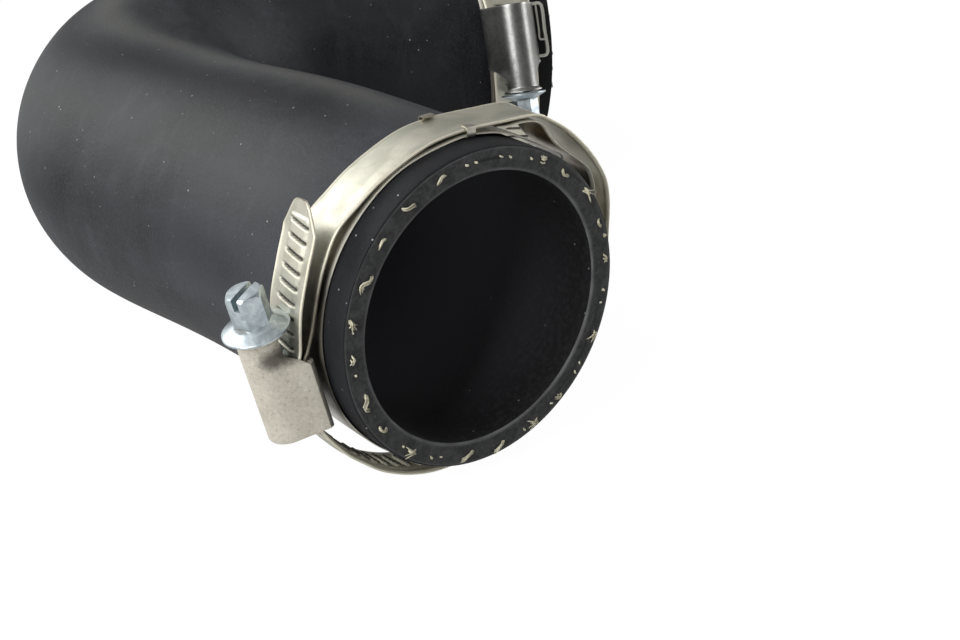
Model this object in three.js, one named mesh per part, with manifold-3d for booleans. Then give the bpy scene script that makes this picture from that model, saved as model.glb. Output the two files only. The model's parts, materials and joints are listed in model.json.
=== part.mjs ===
// Air intake hose: a moulded rubber elbow with a loose worm-drive clamp on each end.
// Lengths are in millimetres, angles in degrees, and +Z is up.
// The hose is drawn with its front mouth at the origin, facing -Y. The whole assembly is
// then laid down on the three points it rests on: front clamp, bend and rear clamp.

import * as THREE from 'three';
import { mergeVertices } from 'three/addons/utils/BufferGeometryUtils.js';
import Module from 'manifold-3d';

const wasm = await Module();
wasm.setup();

// Hose
const BORE_R = 25;
const WALL = 4.5;
const FRONT_LEG = 113.6;
const REAR_LEG = 55.4;
const BEND_R = 52.4;
const BEND_DEG = 112.5;
const BEND_SAG = 6;
const BEND_SAG_REACH = 45;
const BEND_SWELL = 1.4;
const BEND_SWELL_REACH = 60;

// Clamps
const FRONT_CLAMP = { width: 9.6, setback: 10.3, slack: 0, housingStart: -7.2 };
const REAR_CLAMP = { width: 12, setback: 11.5, slack: 0.5, housingStart: -9 };
const REAR_CLAMP_TURN = 181.6;
const REAR_CLAMP_LEAN = 4.5;
const GAP = 0.25;
const BAND_SHEET = 0.7;
const LINER_SHEET = 0.3;
const HOUSING_ANGLE = 195;
const TIP_TAPER = 5;
const TAIL_TIP_WIDTH = 4;
const TONGUE_TIP_WIDTH = 2;

// Screw, along its own axis from where the axis passes closest to the hose's
const AXIS_STANDOFF = 7.6;
const WORM_R = 3.05;
const WORM_ROOT_R = 2.2;
const WORM_PITCH = 2.6;
const WORM_INSET = 3.4;
const WORM_END = 9.8;
const WORM_CLEARANCE = 0.15;
const NECK_R = 2.7;
const FLANGE_START = 13.8;
const FLANGE_R = 5.8;
const FLANGE_RIM = 0.5;
const HEX_START = 15.7;
const HEX_END = 21.4;
const HEX_ACROSS_FLATS = 5.9;
const HEX_TURN = 20;
const SLOT_WIDTH = 1.2;
const SLOT_DEPTH = 2.2;
const SLOT_TURN = 26;

// Housing: a barrel over the worm, a skirt that wraps the band and a slotted wing
// along the skirt's foot on the side away from the mouth
const BARREL_R = 4.05;
const HOUSING_SHEET = 0.6;
const BARREL_END = 13.5;
const BARREL_OPENING = 1.5;
const BARREL_SEAT = 0.1;
const LIP_R = 5;
const LIP_HEIGHT = 0.6;
const SKIRT_END = 6.4;
const SKIRT_LEAD = 2;
const WING_REACH = 1.8;
const WING_HEIGHT = 1;
const WING_END = 4.9;
const WING_SLOT_WIDTH = 0.7;
const WING_SLOT_MARGIN = 1.6;

// Grooves of the thread pressed in the band
const GROOVE_WIDTH = 0.9;
const GROOVE_DEPTH = 0.35;
const GROOVE_MARGIN = 1.8;
const GROOVE_SLANT = 14;
const THREAD_SHARE = 0.32;

// How far band and liner lift from the place where they would hug the hose. Each row is
// [angle, lift]: seen facing the mouth, 0 is to the right and the angle grows
// anticlockwise. The band leaves the housing upwards, crosses the top, comes down the
// right side and returns along the bottom.
const BAND_LIFTS = [
  [182, 2], [176, 0.9], [168, 0.5], [162, 0.6], [155, 0.9], [144, 1.3], [134, 0.4], [124, 0],
  [104, 0], [90, 0.2], [83, 0.5], [74, 1.45], [67, 2.85], [62, 3.9], [57, 4.1], [49, 4.5],
  [38, 4.9], [31, 5.2], [25, 5.3], [19, 4.7], [11, 3.5], [0, 2.4], [-20, 1], [-40, 0.3],
  [-60, 0.2], [-80, 0.7], [-99, 1.6], [-111, 2.2], [-123, 2.6], [-132, 2.7], [-140, 3.1],
];
const TAIL_LIFTS = [[180, 3.1], [175, 3.1], [168, 3.3], [157, 3.7], [148, 4.8], [141, 7.1]];
// The liner starts with two waves, goes once round clockwise and ends in a tongue.
const LINER_LIFTS = [
  [436, 1.15], [432, 1.6], [427, 2.8], [422, 3.7], [418, 3.6], [414, 2.8], [410, 2.3],
  [404, 2.5], [398, 3.3], [393, 4], [388, 3.7], [382, 2.6], [375, 0.9], [366, 0.1], [350, 0],
  [330, 0], [300, 0], [270, 0], [240, 0], [210, 0], [180, 0], [150, 0], [120, 0], [92, 0],
  [82, 0.2], [72, 0.3], [62, 0.35], [54, 0.6], [47, 1.35], [41, 1.8], [37, 1.7],
];

// Mesh steps
const HOSE_SIDES = 40;
const FRONT_LEG_STEPS = 9;
const BEND_STEPS = 14;
const REAR_LEG_STEPS = 5;
const BAND_STEPS = 104;
const LINER_STEPS = 90;
const PATH_SAMPLES = 1200;
const ROUND_SIDES = 24;
const WORM_SIDES = 16;
const WORM_STEPS_PER_TURN = 6;
const REST_PASSES = 6;

const LOOKS = {
  rubber: { color: 0x26272b, roughness: 0.6, metalness: 0 },
  band: { color: 0xb9b6a8, roughness: 0.3, metalness: 1 },
  housing: { color: 0xaaa598, roughness: 0.5, metalness: 1 },
  screw: { color: 0xb9c3c6, roughness: 0.35, metalness: 1 },
  liner: { color: 0xc4c2b4, roughness: 0.25, metalness: 1 },
};

const rad = THREE.MathUtils.degToRad;
const UP = new THREE.Vector3(0, 0, 1);

function polar(angle, radius) {
  return new THREE.Vector2(radius * Math.cos(rad(angle)), radius * Math.sin(rad(angle)));
}

// Solids for joining and cutting
function solid(geometry) {
  const bare = geometry.clone();
  bare.deleteAttribute('normal');
  bare.deleteAttribute('uv');
  const merged = mergeVertices(bare, 1e-4);
  return new wasm.Manifold(new wasm.Mesh({
    numProp: 3,
    vertProperties: new Float32Array(merged.attributes.position.array),
    triVerts: new Uint32Array(merged.index.array),
  }));
}

function geometryOf(manifold) {
  const mesh = manifold.getMesh();
  const geometry = new THREE.BufferGeometry();
  geometry.setAttribute('position', new THREE.BufferAttribute(mesh.vertProperties, 3));
  geometry.setIndex(new THREE.BufferAttribute(mesh.triVerts, 1));
  return geometry;
}

function prism(points, low, high) {
  const options = { depth: high - low, bevelEnabled: false };
  return new THREE.ExtrudeGeometry(new THREE.Shape(points), options).translate(0, 0, low);
}

// A cone frustum along z, or a cylinder when both radii are equal
function frustum(lowR, highR, low, high, sides = ROUND_SIDES) {
  return new THREE.CylinderGeometry(highR, lowR, high - low, sides)
    .rotateX(Math.PI / 2)
    .translate(0, 0, (low + high) / 2);
}

function block(lowCorner, highCorner) {
  const size = highCorner.clone().sub(lowCorner);
  const middle = lowCorner.clone().add(highCorner).multiplyScalar(0.5);
  return new THREE.BoxGeometry(size.x, size.y, size.z).translate(middle.x, middle.y, middle.z);
}

// A skin over rows of points: each row is a loop, joined to the row after it
function loopTriangles(rows, sides, closed) {
  const triangles = [];
  const at = (row, i) => (row % rows) * sides + (i % sides);
  for (let row = 0; row < (closed ? rows : rows - 1); row += 1) {
    for (let i = 0; i < sides; i += 1) {
      triangles.push(at(row, i), at(row, i + 1), at(row + 1, i + 1));
      triangles.push(at(row, i), at(row + 1, i + 1), at(row + 1, i));
    }
  }
  return triangles;
}

function meshGeometry(positions, triangles) {
  const geometry = new THREE.BufferGeometry();
  geometry.setAttribute('position', new THREE.Float32BufferAttribute(positions, 3));
  geometry.setIndex(triangles);
  return geometry;
}

// Hose
const bendLength = BEND_R * rad(BEND_DEG);
const hoseLength = FRONT_LEG + bendLength + REAR_LEG;
const hoseR = BORE_R + WALL;

function hoseStation(s) {
  const turned = THREE.MathUtils.clamp((s - FRONT_LEG) / BEND_R, 0, rad(BEND_DEG));
  const heading = new THREE.Vector3(Math.sin(turned), Math.cos(turned), 0);
  const centre = new THREE.Vector3(
    BEND_R * (1 - Math.cos(turned)),
    Math.min(s, FRONT_LEG) + BEND_R * Math.sin(turned),
    -BEND_SAG * Math.exp(-(((s - FRONT_LEG) / BEND_SAG_REACH) ** 2)),
  );
  centre.addScaledVector(heading, Math.max(0, s - FRONT_LEG - bendLength));
  const fromMiddle = (s - FRONT_LEG - bendLength / 2) / BEND_SWELL_REACH;
  const swell = BEND_SWELL * Math.exp(-(fromMiddle ** 4));
  return { centre, heading, swell, side: new THREE.Vector3(heading.y, -heading.x, 0) };
}

function hoseSteps() {
  const legs = [
    [0, FRONT_LEG, FRONT_LEG_STEPS],
    [FRONT_LEG, bendLength, BEND_STEPS],
    [FRONT_LEG + bendLength, REAR_LEG, REAR_LEG_STEPS],
  ];
  const stations = legs.flatMap(([start, length, count]) => (
    Array.from({ length: count }, (_, i) => start + (length * i) / count)
  ));
  return [...stations, hoseLength];
}

// The outside from front to rear, then the bore back again, joined at both cut faces
function hoseGeometry() {
  const steps = hoseSteps();
  const skins = [
    ...steps.map((s) => [s, hoseR]),
    ...steps.toReversed().map((s) => [s, BORE_R]),
  ];
  const positions = [];
  for (const [s, radius] of skins) {
    const { centre, side, swell } = hoseStation(s);
    for (let i = 0; i < HOSE_SIDES; i += 1) {
      const spoke = polar((-360 * i) / HOSE_SIDES, radius + swell);
      const point = centre.clone().addScaledVector(side, spoke.x).addScaledVector(UP, spoke.y);
      positions.push(...point.toArray());
    }
  }
  return meshGeometry(positions, loopTriangles(skins.length, HOSE_SIDES, true));
}

// Clamp sizes that follow from the hose it goes round
function clampSizes({ width, slack, housingStart }) {
  const gripR = hoseR + slack;
  const axisR = gripR + AXIS_STANDOFF;
  const threadedR = axisR - WORM_R - WORM_CLEARANCE;
  return {
    width,
    housingStart,
    axisR,
    threadedR,
    fixedR: threadedR - BAND_SHEET - GAP,
    bandR: gripR + GAP + LINER_SHEET + GAP + BAND_SHEET,
    linerR: gripR + GAP + LINER_SHEET / 2,
  };
}

// The screw's own directions in the plane of the ring
const outward = polar(HOUSING_ANGLE, 1);
const headward = new THREE.Vector2(outward.y, -outward.x);

function byScrew(along, out) {
  return outward.clone().multiplyScalar(out).addScaledVector(headward, along);
}

function liftedPoints(lifts, radius) {
  return lifts.map(([angle, lift]) => polar(angle, radius + lift));
}

function smoothPath(points) {
  const flat = points.map(({ x, y }) => new THREE.Vector3(x, y, 0));
  const path = new THREE.CatmullRomCurve3(flat, false, 'centripetal');
  path.arcLengthDivisions = PATH_SAMPLES;
  return path;
}

// The band's outer face, from its fixed end in the housing to the tip of its tail
function bandPath({ housingStart, fixedR, threadedR, bandR }) {
  return smoothPath([
    byScrew(housingStart + GAP, fixedR),
    byScrew(0, fixedR),
    byScrew(SKIRT_END + GAP, fixedR),
    ...liftedPoints(BAND_LIFTS, bandR),
    byScrew(housingStart, threadedR),
    byScrew(housingStart + SKIRT_LEAD, threadedR),
    byScrew(0, threadedR),
    byScrew(SKIRT_END, threadedR),
    ...liftedPoints(TAIL_LIFTS, bandR),
  ]);
}

// A sheet strip along a path, between two offsets towards the inside of the ring
function stripSolid(path, steps, outer, inner, width) {
  const spots = Array.from({ length: steps + 1 }, (_, i) => i / steps);
  const face = (offset) => spots.map((u) => {
    const run = path.getTangentAt(u);
    return path.getPointAt(u).addScaledVector(new THREE.Vector3(run.y, -run.x, 0), offset);
  });
  return solid(prism([...face(outer), ...face(inner).reverse()], -width / 2, width / 2));
}

// Move a cutting tool to a point of a path: its x runs along and its z across the strip
function onPath(tool, path, u) {
  const point = path.getPointAt(u);
  const run = path.getTangentAt(u);
  const frame = new THREE.Matrix4().makeBasis(run, new THREE.Vector3(-run.y, run.x, 0), UP);
  return solid(tool.clone().applyMatrix4(frame.setPosition(point)));
}

// What is cut away on both sides to leave a tapered tip at the end of a strip
function tipCorners(path, width, tipWidth, depth) {
  const corners = [-1, 1].map((side) => {
    const outline = [
      new THREE.Vector2(-TIP_TAPER, (side * width) / 2),
      new THREE.Vector2(0, (side * tipWidth) / 2),
      new THREE.Vector2(1, (side * tipWidth) / 2),
      new THREE.Vector2(1, side * width),
      new THREE.Vector2(-TIP_TAPER, side * width),
    ];
    return onPath(prism(outline, -depth, depth).rotateX(Math.PI / 2), path, 1);
  });
  return corners[0].add(corners[1]);
}

function bandGeometry(sizes) {
  const path = bandPath(sizes);
  const length = path.getLength();
  const groove = new THREE.BoxGeometry(
    GROOVE_WIDTH, 2 * GROOVE_DEPTH, sizes.width - 2 * GROOVE_MARGIN,
  ).rotateY(rad(GROOVE_SLANT));
  const grooves = Math.floor((length * THREAD_SHARE) / WORM_PITCH);
  let band = stripSolid(path, BAND_STEPS, 0, BAND_SHEET, sizes.width);
  for (let i = 1; i <= grooves; i += 1) {
    const fromTip = TIP_TAPER + i * WORM_PITCH;
    band = band.subtract(onPath(groove, path, 1 - fromTip / length));
  }
  return geometryOf(band.subtract(tipCorners(path, sizes.width, TAIL_TIP_WIDTH, 2 * BAND_SHEET)));
}

function linerGeometry({ linerR, width }) {
  const path = smoothPath(liftedPoints(LINER_LIFTS, linerR));
  const half = LINER_SHEET / 2;
  const strip = stripSolid(path, LINER_STEPS, -half, half, width);
  return geometryOf(strip.subtract(tipCorners(path, width, TONGUE_TIP_WIDTH, LINER_SHEET)));
}

// The skirt's outline round the band and the worm, drawn from the screw's axis:
// x is out from the hose and y is across the band
function skirtOutline({ width, fixedR, threadedR, axisR }, inset) {
  const edge = width / 2 + GAP + HOUSING_SHEET - inset;
  const floor = fixedR - BAND_SHEET - GAP - HOUSING_SHEET + inset - axisR;
  const shoulder = new THREE.Vector2(threadedR + GAP - axisR, edge);
  const radius = BARREL_R - inset;
  const touch = THREE.MathUtils.radToDeg(shoulder.angle() - Math.acos(radius / shoulder.length()));
  const steps = ROUND_SIDES / 2;
  const crown = Array.from({ length: steps + 1 }, (_, i) => (
    polar(touch * ((2 * i) / steps - 1), radius)
  ));
  return [
    new THREE.Vector2(floor, -edge),
    new THREE.Vector2(shoulder.x, -edge),
    ...crown,
    shoulder,
    new THREE.Vector2(floor, edge),
  ];
}

function housingGeometry(sizes) {
  const { width, housingStart } = sizes;
  const edge = width / 2 + GAP + HOUSING_SHEET;
  const outline = skirtOutline(sizes, 0);
  const floor = outline[0].x;
  const boreR = BARREL_R - HOUSING_SHEET;
  const wing = block(
    new THREE.Vector3(floor, -edge - WING_REACH, housingStart),
    new THREE.Vector3(floor + WING_HEIGHT, -edge + HOUSING_SHEET / 2, WING_END),
  );
  const slotMiddle = -edge - WING_REACH / 2;
  const wingSlot = block(
    new THREE.Vector3(floor - 1, slotMiddle - WING_SLOT_WIDTH / 2, housingStart + WING_SLOT_MARGIN),
    new THREE.Vector3(0, slotMiddle + WING_SLOT_WIDTH / 2, WING_END - WING_SLOT_MARGIN),
  );
  const opening = block(
    new THREE.Vector3(-LIP_R, -LIP_R, SKIRT_END - 1),
    new THREE.Vector3(-BARREL_OPENING, LIP_R, BARREL_END - LIP_HEIGHT),
  );
  const barrel = solid(frustum(BARREL_R, BARREL_R, SKIRT_END - BARREL_SEAT, BARREL_END))
    .subtract(solid(opening))
    .add(solid(frustum(LIP_R, LIP_R, BARREL_END - LIP_HEIGHT, BARREL_END)))
    .subtract(solid(frustum(boreR, boreR, SKIRT_END - 1, BARREL_END + 1)));
  const skirt = solid(prism(outline, housingStart, SKIRT_END))
    .subtract(solid(prism(skirtOutline(sizes, HOUSING_SHEET), housingStart - 1, SKIRT_END + 1)))
    .add(solid(wing).subtract(solid(wingSlot)));
  return geometryOf(skirt.add(barrel));
}

// The worm as one skin: its radius follows the thread round and along
function wormSolid(low, high) {
  const steps = Math.ceil(((high - low) / WORM_PITCH) * WORM_STEPS_PER_TURN);
  const positions = [];
  for (let row = 0; row <= steps; row += 1) {
    const along = low + ((high - low) * row) / steps;
    const atEnd = row === 0 || row === steps;
    for (let i = 0; i < WORM_SIDES; i += 1) {
      const phase = 2 * Math.PI * (along / WORM_PITCH - i / WORM_SIDES);
      const rise = atEnd ? 0 : THREE.MathUtils.smoothstep(Math.cos(phase), -0.6, 0.6);
      const radius = THREE.MathUtils.lerp(WORM_ROOT_R, WORM_R, rise);
      const spoke = polar((360 * i) / WORM_SIDES, radius);
      positions.push(spoke.x, spoke.y, along);
    }
  }
  const lowHub = positions.length / 3;
  positions.push(0, 0, low, 0, 0, high);
  const triangles = loopTriangles(steps + 1, WORM_SIDES, false);
  const top = steps * WORM_SIDES;
  for (let i = 0; i < WORM_SIDES; i += 1) {
    const next = (i + 1) % WORM_SIDES;
    triangles.push(lowHub, next, i);
    triangles.push(lowHub + 1, top + i, top + next);
  }
  return solid(meshGeometry(positions, triangles));
}

function screwGeometry({ housingStart }) {
  const rimEnd = FLANGE_START + FLANGE_RIM;
  const hexR = HEX_ACROSS_FLATS / 2 / Math.cos(rad(30));
  const hex = frustum(hexR, hexR, FLANGE_START, HEX_END, 6).rotateZ(rad(HEX_TURN));
  const slot = block(
    new THREE.Vector3(-HEX_ACROSS_FLATS, -SLOT_WIDTH / 2, HEX_END - SLOT_DEPTH),
    new THREE.Vector3(HEX_ACROSS_FLATS, SLOT_WIDTH / 2, HEX_END + 1),
  ).rotateZ(rad(SLOT_TURN));
  return geometryOf(wormSolid(housingStart + WORM_INSET, WORM_END)
    .add(solid(frustum(NECK_R, NECK_R, WORM_END - WORM_PITCH / 2, rimEnd)))
    .add(solid(frustum(FLANGE_R, FLANGE_R, FLANGE_START, rimEnd)))
    .add(solid(frustum(FLANGE_R, HEX_ACROSS_FLATS / 2, rimEnd, HEX_START)))
    .add(solid(hex))
    .subtract(solid(slot)));
}

// One clamp: its ring lies in the plane of x and y, with z facing the near mouth
function clampPieces(kind) {
  const sizes = clampSizes(kind);
  const screwFrame = new THREE.Matrix4().makeBasis(
    new THREE.Vector3(outward.x, outward.y, 0), UP, new THREE.Vector3(headward.x, headward.y, 0),
  ).setPosition(outward.x * sizes.axisR, outward.y * sizes.axisR, 0);
  return {
    band: bandGeometry(sizes),
    housing: housingGeometry(sizes).applyMatrix4(screwFrame),
    screw: screwGeometry(sizes).applyMatrix4(screwFrame),
    liner: linerGeometry(sizes),
  };
}

function frontClampFrame() {
  const { centre, heading, side } = hoseStation(FRONT_CLAMP.setback);
  return new THREE.Matrix4().makeBasis(side, UP, heading.negate()).setPosition(centre);
}

// The rear clamp is turned round the hose, and its top leans away from the mouth
function rearClampFrame() {
  const { centre, heading, side } = hoseStation(hoseLength - REAR_CLAMP.setback);
  const frame = new THREE.Matrix4().makeBasis(side, UP, heading.negate());
  const turn = new THREE.Matrix4().makeRotationZ(rad(REAR_CLAMP_TURN));
  const lean = new THREE.Matrix4().makeRotationAxis(side, rad(REAR_CLAMP_LEAN));
  return lean.multiply(frame).multiply(turn).setPosition(centre);
}

// Assembly
function named(name, geometry, look) {
  const mesh = new THREE.Mesh(geometry, new THREE.MeshStandardMaterial(LOOKS[look]));
  mesh.name = name;
  return mesh;
}

function clampMeshes(end, kind, frame) {
  return Object.entries(clampPieces(kind)).map(([look, geometry]) => (
    named(`${end}_${look}`, geometry.applyMatrix4(frame), look)
  ));
}

function lowestPoint(meshes, up) {
  const points = meshes.flatMap(({ geometry: { attributes: { position } } }) => (
    Array.from({ length: position.count }, (_, i) => (
      new THREE.Vector3().fromBufferAttribute(position, i)
    ))
  ));
  return points.reduce((low, point) => (point.dot(up) < low.dot(up) ? point : low));
}

// Lay the pieces on the level plane through the lowest point of each of three groups,
// with the middle of their box over the origin
function layDown(groups) {
  let up = UP;
  for (let pass = 0; pass < REST_PASSES; pass += 1) {
    const [a, b, c] = groups.map((meshes) => lowestPoint(meshes, up));
    const across = b.sub(a).cross(c.sub(a)).normalize();
    up = across.multiplyScalar(Math.sign(across.z));
  }
  const level = new THREE.Quaternion().setFromUnitVectors(up, UP);
  const pieces = groups.flat();
  const box = new THREE.Box3();
  for (const { geometry } of pieces) {
    geometry.applyQuaternion(level);
    geometry.computeBoundingBox();
    box.union(geometry.boundingBox);
  }
  const middle = box.getCenter(new THREE.Vector3());
  for (const { geometry } of pieces) {
    geometry.translate(-middle.x, -middle.y, -box.min.z);
    geometry.computeVertexNormals();
  }
}

const hose = named('hose', hoseGeometry(), 'rubber');
const frontClamp = clampMeshes('front', FRONT_CLAMP, frontClampFrame());
const rearClamp = clampMeshes('rear', REAR_CLAMP, rearClampFrame());
layDown([frontClamp, [hose], rearClamp]);

const group = new THREE.Group();
group.add(hose, ...frontClamp, ...rearClamp);

export default group;
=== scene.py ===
"""Air intake hose: the looks of a moulded rubber elbow with a loose clamp on each end."""

import json
import math

import bpy
import numpy as np
from mathutils import Matrix, Vector

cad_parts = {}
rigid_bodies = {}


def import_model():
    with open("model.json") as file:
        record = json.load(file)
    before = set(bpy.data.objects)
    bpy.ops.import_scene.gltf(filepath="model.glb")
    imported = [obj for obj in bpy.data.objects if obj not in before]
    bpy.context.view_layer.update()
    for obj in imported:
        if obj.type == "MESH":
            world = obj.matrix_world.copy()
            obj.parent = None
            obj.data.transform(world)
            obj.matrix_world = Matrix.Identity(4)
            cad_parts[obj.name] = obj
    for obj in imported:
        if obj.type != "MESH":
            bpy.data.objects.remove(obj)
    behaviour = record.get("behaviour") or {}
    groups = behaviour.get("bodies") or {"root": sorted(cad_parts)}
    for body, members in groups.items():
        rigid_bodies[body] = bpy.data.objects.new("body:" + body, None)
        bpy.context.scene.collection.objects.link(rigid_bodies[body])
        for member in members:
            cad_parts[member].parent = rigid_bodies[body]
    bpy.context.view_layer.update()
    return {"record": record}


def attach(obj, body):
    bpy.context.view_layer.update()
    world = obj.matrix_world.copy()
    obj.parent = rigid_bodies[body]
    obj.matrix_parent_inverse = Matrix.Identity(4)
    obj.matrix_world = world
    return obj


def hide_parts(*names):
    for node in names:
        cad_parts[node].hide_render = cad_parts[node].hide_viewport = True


bl_info = {
    "name": "Air Intake Hose",
    "version": (1, 0, 0),
    "blender": (4, 5, 0),
    "location": "View3D > Sidebar > Intake Hose",
    "description": "Builds a rubber intake elbow, its two worm-drive clamps and a studio",
    "category": "Object",
}

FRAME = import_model()

MM = 0.001
ENDS = ("front", "rear")

# Hose, in millimetres, as the solids have it
BORE_R = 25.0
WALL = 4.5
HOSE_R = BORE_R + WALL
FRONT_LEG = 113.6
REAR_LEG = 55.4
BEND_R = 52.4
BEND = math.radians(112.5)
BEND_LENGTH = BEND_R * BEND
HOSE_LENGTH = FRONT_LEG + BEND_LENGTH + REAR_LEG
BEND_SAG, BEND_SAG_REACH = 6.0, 45.0
BEND_SWELL, BEND_SWELL_REACH = 1.4, 60.0
PLY_R, PLY_WIDTH, YARN_R = 27.35, 0.22, 27.6
CUT_EDGE = 0.35
HOSE_COLUMNS, SKIN_ROWS, BORE_ROWS, FRONT_FACE_ROWS, REAR_FACE_ROWS = 192, 172, 110, 14, 8

# Clamps. The rear band lies flat and a little low, clear of its turning screw
CLAMPS = {
    "front": {
        "width": 9.6, "setback": 10.3, "slack": 0.0, "start": -7.2, "roll": 0.2, "sink": 0.0,
        "pad_height": 0.36, "soot": 1.0, "loop_reach": 1.5, "loop_sheet": 0.6,
    },
    "rear": {
        "width": 12.0, "setback": 11.5, "slack": 0.5, "start": -9.0, "roll": 0.0, "sink": 0.06,
        "pad_height": 0.0, "soot": 0.5, "loop_reach": 2.6, "loop_sheet": 0.8,
    },
}
REAR_TURN, REAR_LEAN = 181.6, 4.5
GAP = 0.25
BAND_SHEET, LINER_SHEET, HOUSING_SHEET = 0.7, 0.3, 0.6
HOUSING_ANGLE = 195.0
AXIS_STANDOFF = 7.6
WORM_R, WORM_ROOT_R, WORM_PITCH = 3.05, 2.2, 2.6
WORM_INSET, WORM_END, WORM_CLEARANCE = 3.4, 9.8, 0.15
NECK_R, FLANGE_START, FLANGE_R = 2.7, 13.8, 5.8
HEX_START, HEX_END, HEX_FLATS, HEX_CORNER = 15.7, 21.4, 5.9, -10.0
SLOT_WIDTH, SLOT_DEPTH, SLOT_TURN = 1.2, 2.2, 26.0
BARREL_R, BARREL_END, LIP_R = 4.05, 13.5, 5.0
SKIRT_END, SKIRT_LEAD = 6.4, 2.0
TIP_TAPER, TAIL_TIP, TONGUE_TIP, TIP_ROUND = 5.0, 4.0, 2.0, 1.2
FACE_DROP = 1.5
NOTCH_RISE = 2.2
TAB_ROWS, TAB_HALF = 7, 0.14
SKIRT_ROWS, SLANT, CROWN, BAR_ROWS = 26, 7, 25, 40
SCREW_COLUMNS, WORM_STEP, HEX_CHAMFER = 96, 0.18, 0.75
# Share of a band that carries the pressed thread, and how its slits lie
THREAD_SHARE = 0.32
THREAD_SLANT, THREAD_FIRST, THREAD_HALF_WIDTH = -0.15, 2.4, 0.29
SLIT_DEPTH, SLIT_WIDTH = 0.4, 0.36
# The drawn strips are a little thinner than the solids. Then columns, steps in
# millimetres and rows round the tip
DRAWN_BAND, DRAWN_LINER = 0.6, 0.26
BAND_COLUMNS, BAND_STEP, THREAD_STEP, BAND_TIP_ROWS = 24, 0.8, 0.16, 9
LINER_COLUMNS, LINER_STEP, LINER_TIP_ROWS = 18, 0.7, 7

# How far each strip stands off the hose: angle, lift. Seen facing the mouth, 0 is to the
# right and the angle grows anticlockwise
BAND_LIFTS = [
    (182, 2), (176, 0.9), (168, 0.5), (162, 0.6), (155, 0.9), (144, 1.3), (134, 0.4), (124, 0),
    (104, 0), (90, 0.2), (83, 0.5), (74, 1.45), (67, 2.85), (62, 3.9), (57, 4.1), (49, 4.5),
    (38, 4.9), (31, 5.2), (25, 5.3), (19, 4.7), (11, 3.5), (0, 2.4), (-20, 1), (-40, 0.3),
    (-60, 0.2), (-80, 0.7), (-99, 1.6), (-111, 2.2), (-123, 2.6), (-132, 2.7), (-140, 3.1),
]
TAIL_LIFTS = [(180, 3.1), (175, 3.1), (168, 3.3), (157, 3.7), (148, 4.8), (141, 7.1)]
LINER_LIFTS = [
    (436, 1.15), (432, 1.6), (427, 2.8), (422, 3.7), (418, 3.6), (414, 2.8), (410, 2.3),
    (404, 2.5), (398, 3.3), (393, 4), (388, 3.7), (382, 2.6), (375, 0.9), (366, 0.1), (350, 0),
    (330, 0), (300, 0), (270, 0), (240, 0), (210, 0), (180, 0), (150, 0), (120, 0), (92, 0),
    (82, 0.2), (72, 0.3), (62, 0.35), (54, 0.6), (47, 1.35), (41, 1.8), (37, 1.7),
]

# Yarn ends that stick out of the front cut face: angle, radius and kind
DOT, BLOB, CURL, FRAYED, LONG, TUFT = range(6)
FRONT_YARN = [
    (98, 27.5, DOT), (94, 27.4, DOT), (83, 27.4, DOT), (79, 27.4, DOT), (69, 27.5, DOT),
    (63, 28.0, BLOB), (51, 27.7, CURL), (36, 28.4, FRAYED), (21, 28.0, CURL), (15, 28.5, DOT),
    (6, 28.1, BLOB), (353, 27.8, DOT), (348, 27.8, DOT), (335, 28.1, FRAYED), (323, 27.7, DOT),
    (319, 27.9, DOT), (308, 28.2, BLOB), (304, 27.9, DOT), (294, 28.0, FRAYED), (289, 27.9, DOT),
    (277, 28.1, LONG), (262, 27.6, LONG), (249, 27.5, DOT), (244, 27.7, DOT),
    (234, 27.7, FRAYED), (229, 27.5, DOT), (216, 27.3, CURL), (202, 27.5, TUFT),
    (189, 27.5, DOT), (183, 27.7, BLOB), (173, 27.6, DOT), (170, 28.2, FRAYED),
    (155, 27.3, TUFT), (140, 27.6, CURL), (125, 27.6, LONG), (110, 27.5, CURL),
]

# Camera, in millimetres and radians, in the hose's frame turned by PHOTO_TURN about its up
PHOTO_TURN = math.radians(38.03)
PHOTO_TILT = 0.422
PHOTO_EYE = (-0.854, -246.52, 108.80)
PHOTO_FOCAL = 1551.0
PHOTO_WIDTH = 960
SENSOR_WIDTH = 36.0


def unit(v):
    return np.asarray(v, float) / np.linalg.norm(v)


# The hose's own frame, from the two mounts on its cut faces
_mounts = {m["name"]: m for m in FRAME["record"]["mounts"]}
_out_front = unit(_mounts["front_face"]["axis"])
_out_rear = unit(_mounts["rear_face"]["axis"])
FORWARD = -_out_front
UPWARD = unit(np.cross(_out_front, _out_rear))
SIDEWAYS = unit(np.cross(FORWARD, UPWARD))
MOUTH = np.array(_mounts["front_face"]["pos_m"]) / MM + SIDEWAYS * (BORE_R + WALL / 2)
AXES = np.stack([SIDEWAYS, FORWARD, UPWARD])


def world(points):
    """Points of the hose's frame, in millimetres, as metres in the shared frame."""
    return (MOUTH + np.asarray(points, float) @ AXES) * MM


def world_direction(vectors):
    return np.asarray(vectors, float) @ AXES


def hose_station(s):
    """Centre, heading, side and swell of the hose at a distance along it."""
    s = np.asarray(s, float)
    turned = np.clip((s - FRONT_LEG) / BEND_R, 0, BEND)
    heading = np.stack([np.sin(turned), np.cos(turned), 0 * s], -1)
    sag = -BEND_SAG * np.exp(-(((s - FRONT_LEG) / BEND_SAG_REACH) ** 2))
    sag = sag + BEND_SAG * math.exp(-((FRONT_LEG / BEND_SAG_REACH) ** 2))
    ahead = np.minimum(s, FRONT_LEG) + BEND_R * np.sin(turned)
    centre = np.stack([BEND_R * (1 - np.cos(turned)), ahead, sag], -1)
    centre = centre + heading * np.maximum(0, s - FRONT_LEG - BEND_LENGTH)[..., None]
    side = np.stack([heading[..., 1], -heading[..., 0], 0 * s], -1)
    from_middle = (s - FRONT_LEG - BEND_LENGTH / 2) / BEND_SWELL_REACH
    return centre, heading, side, BEND_SWELL * np.exp(-(from_middle**4))


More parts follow.
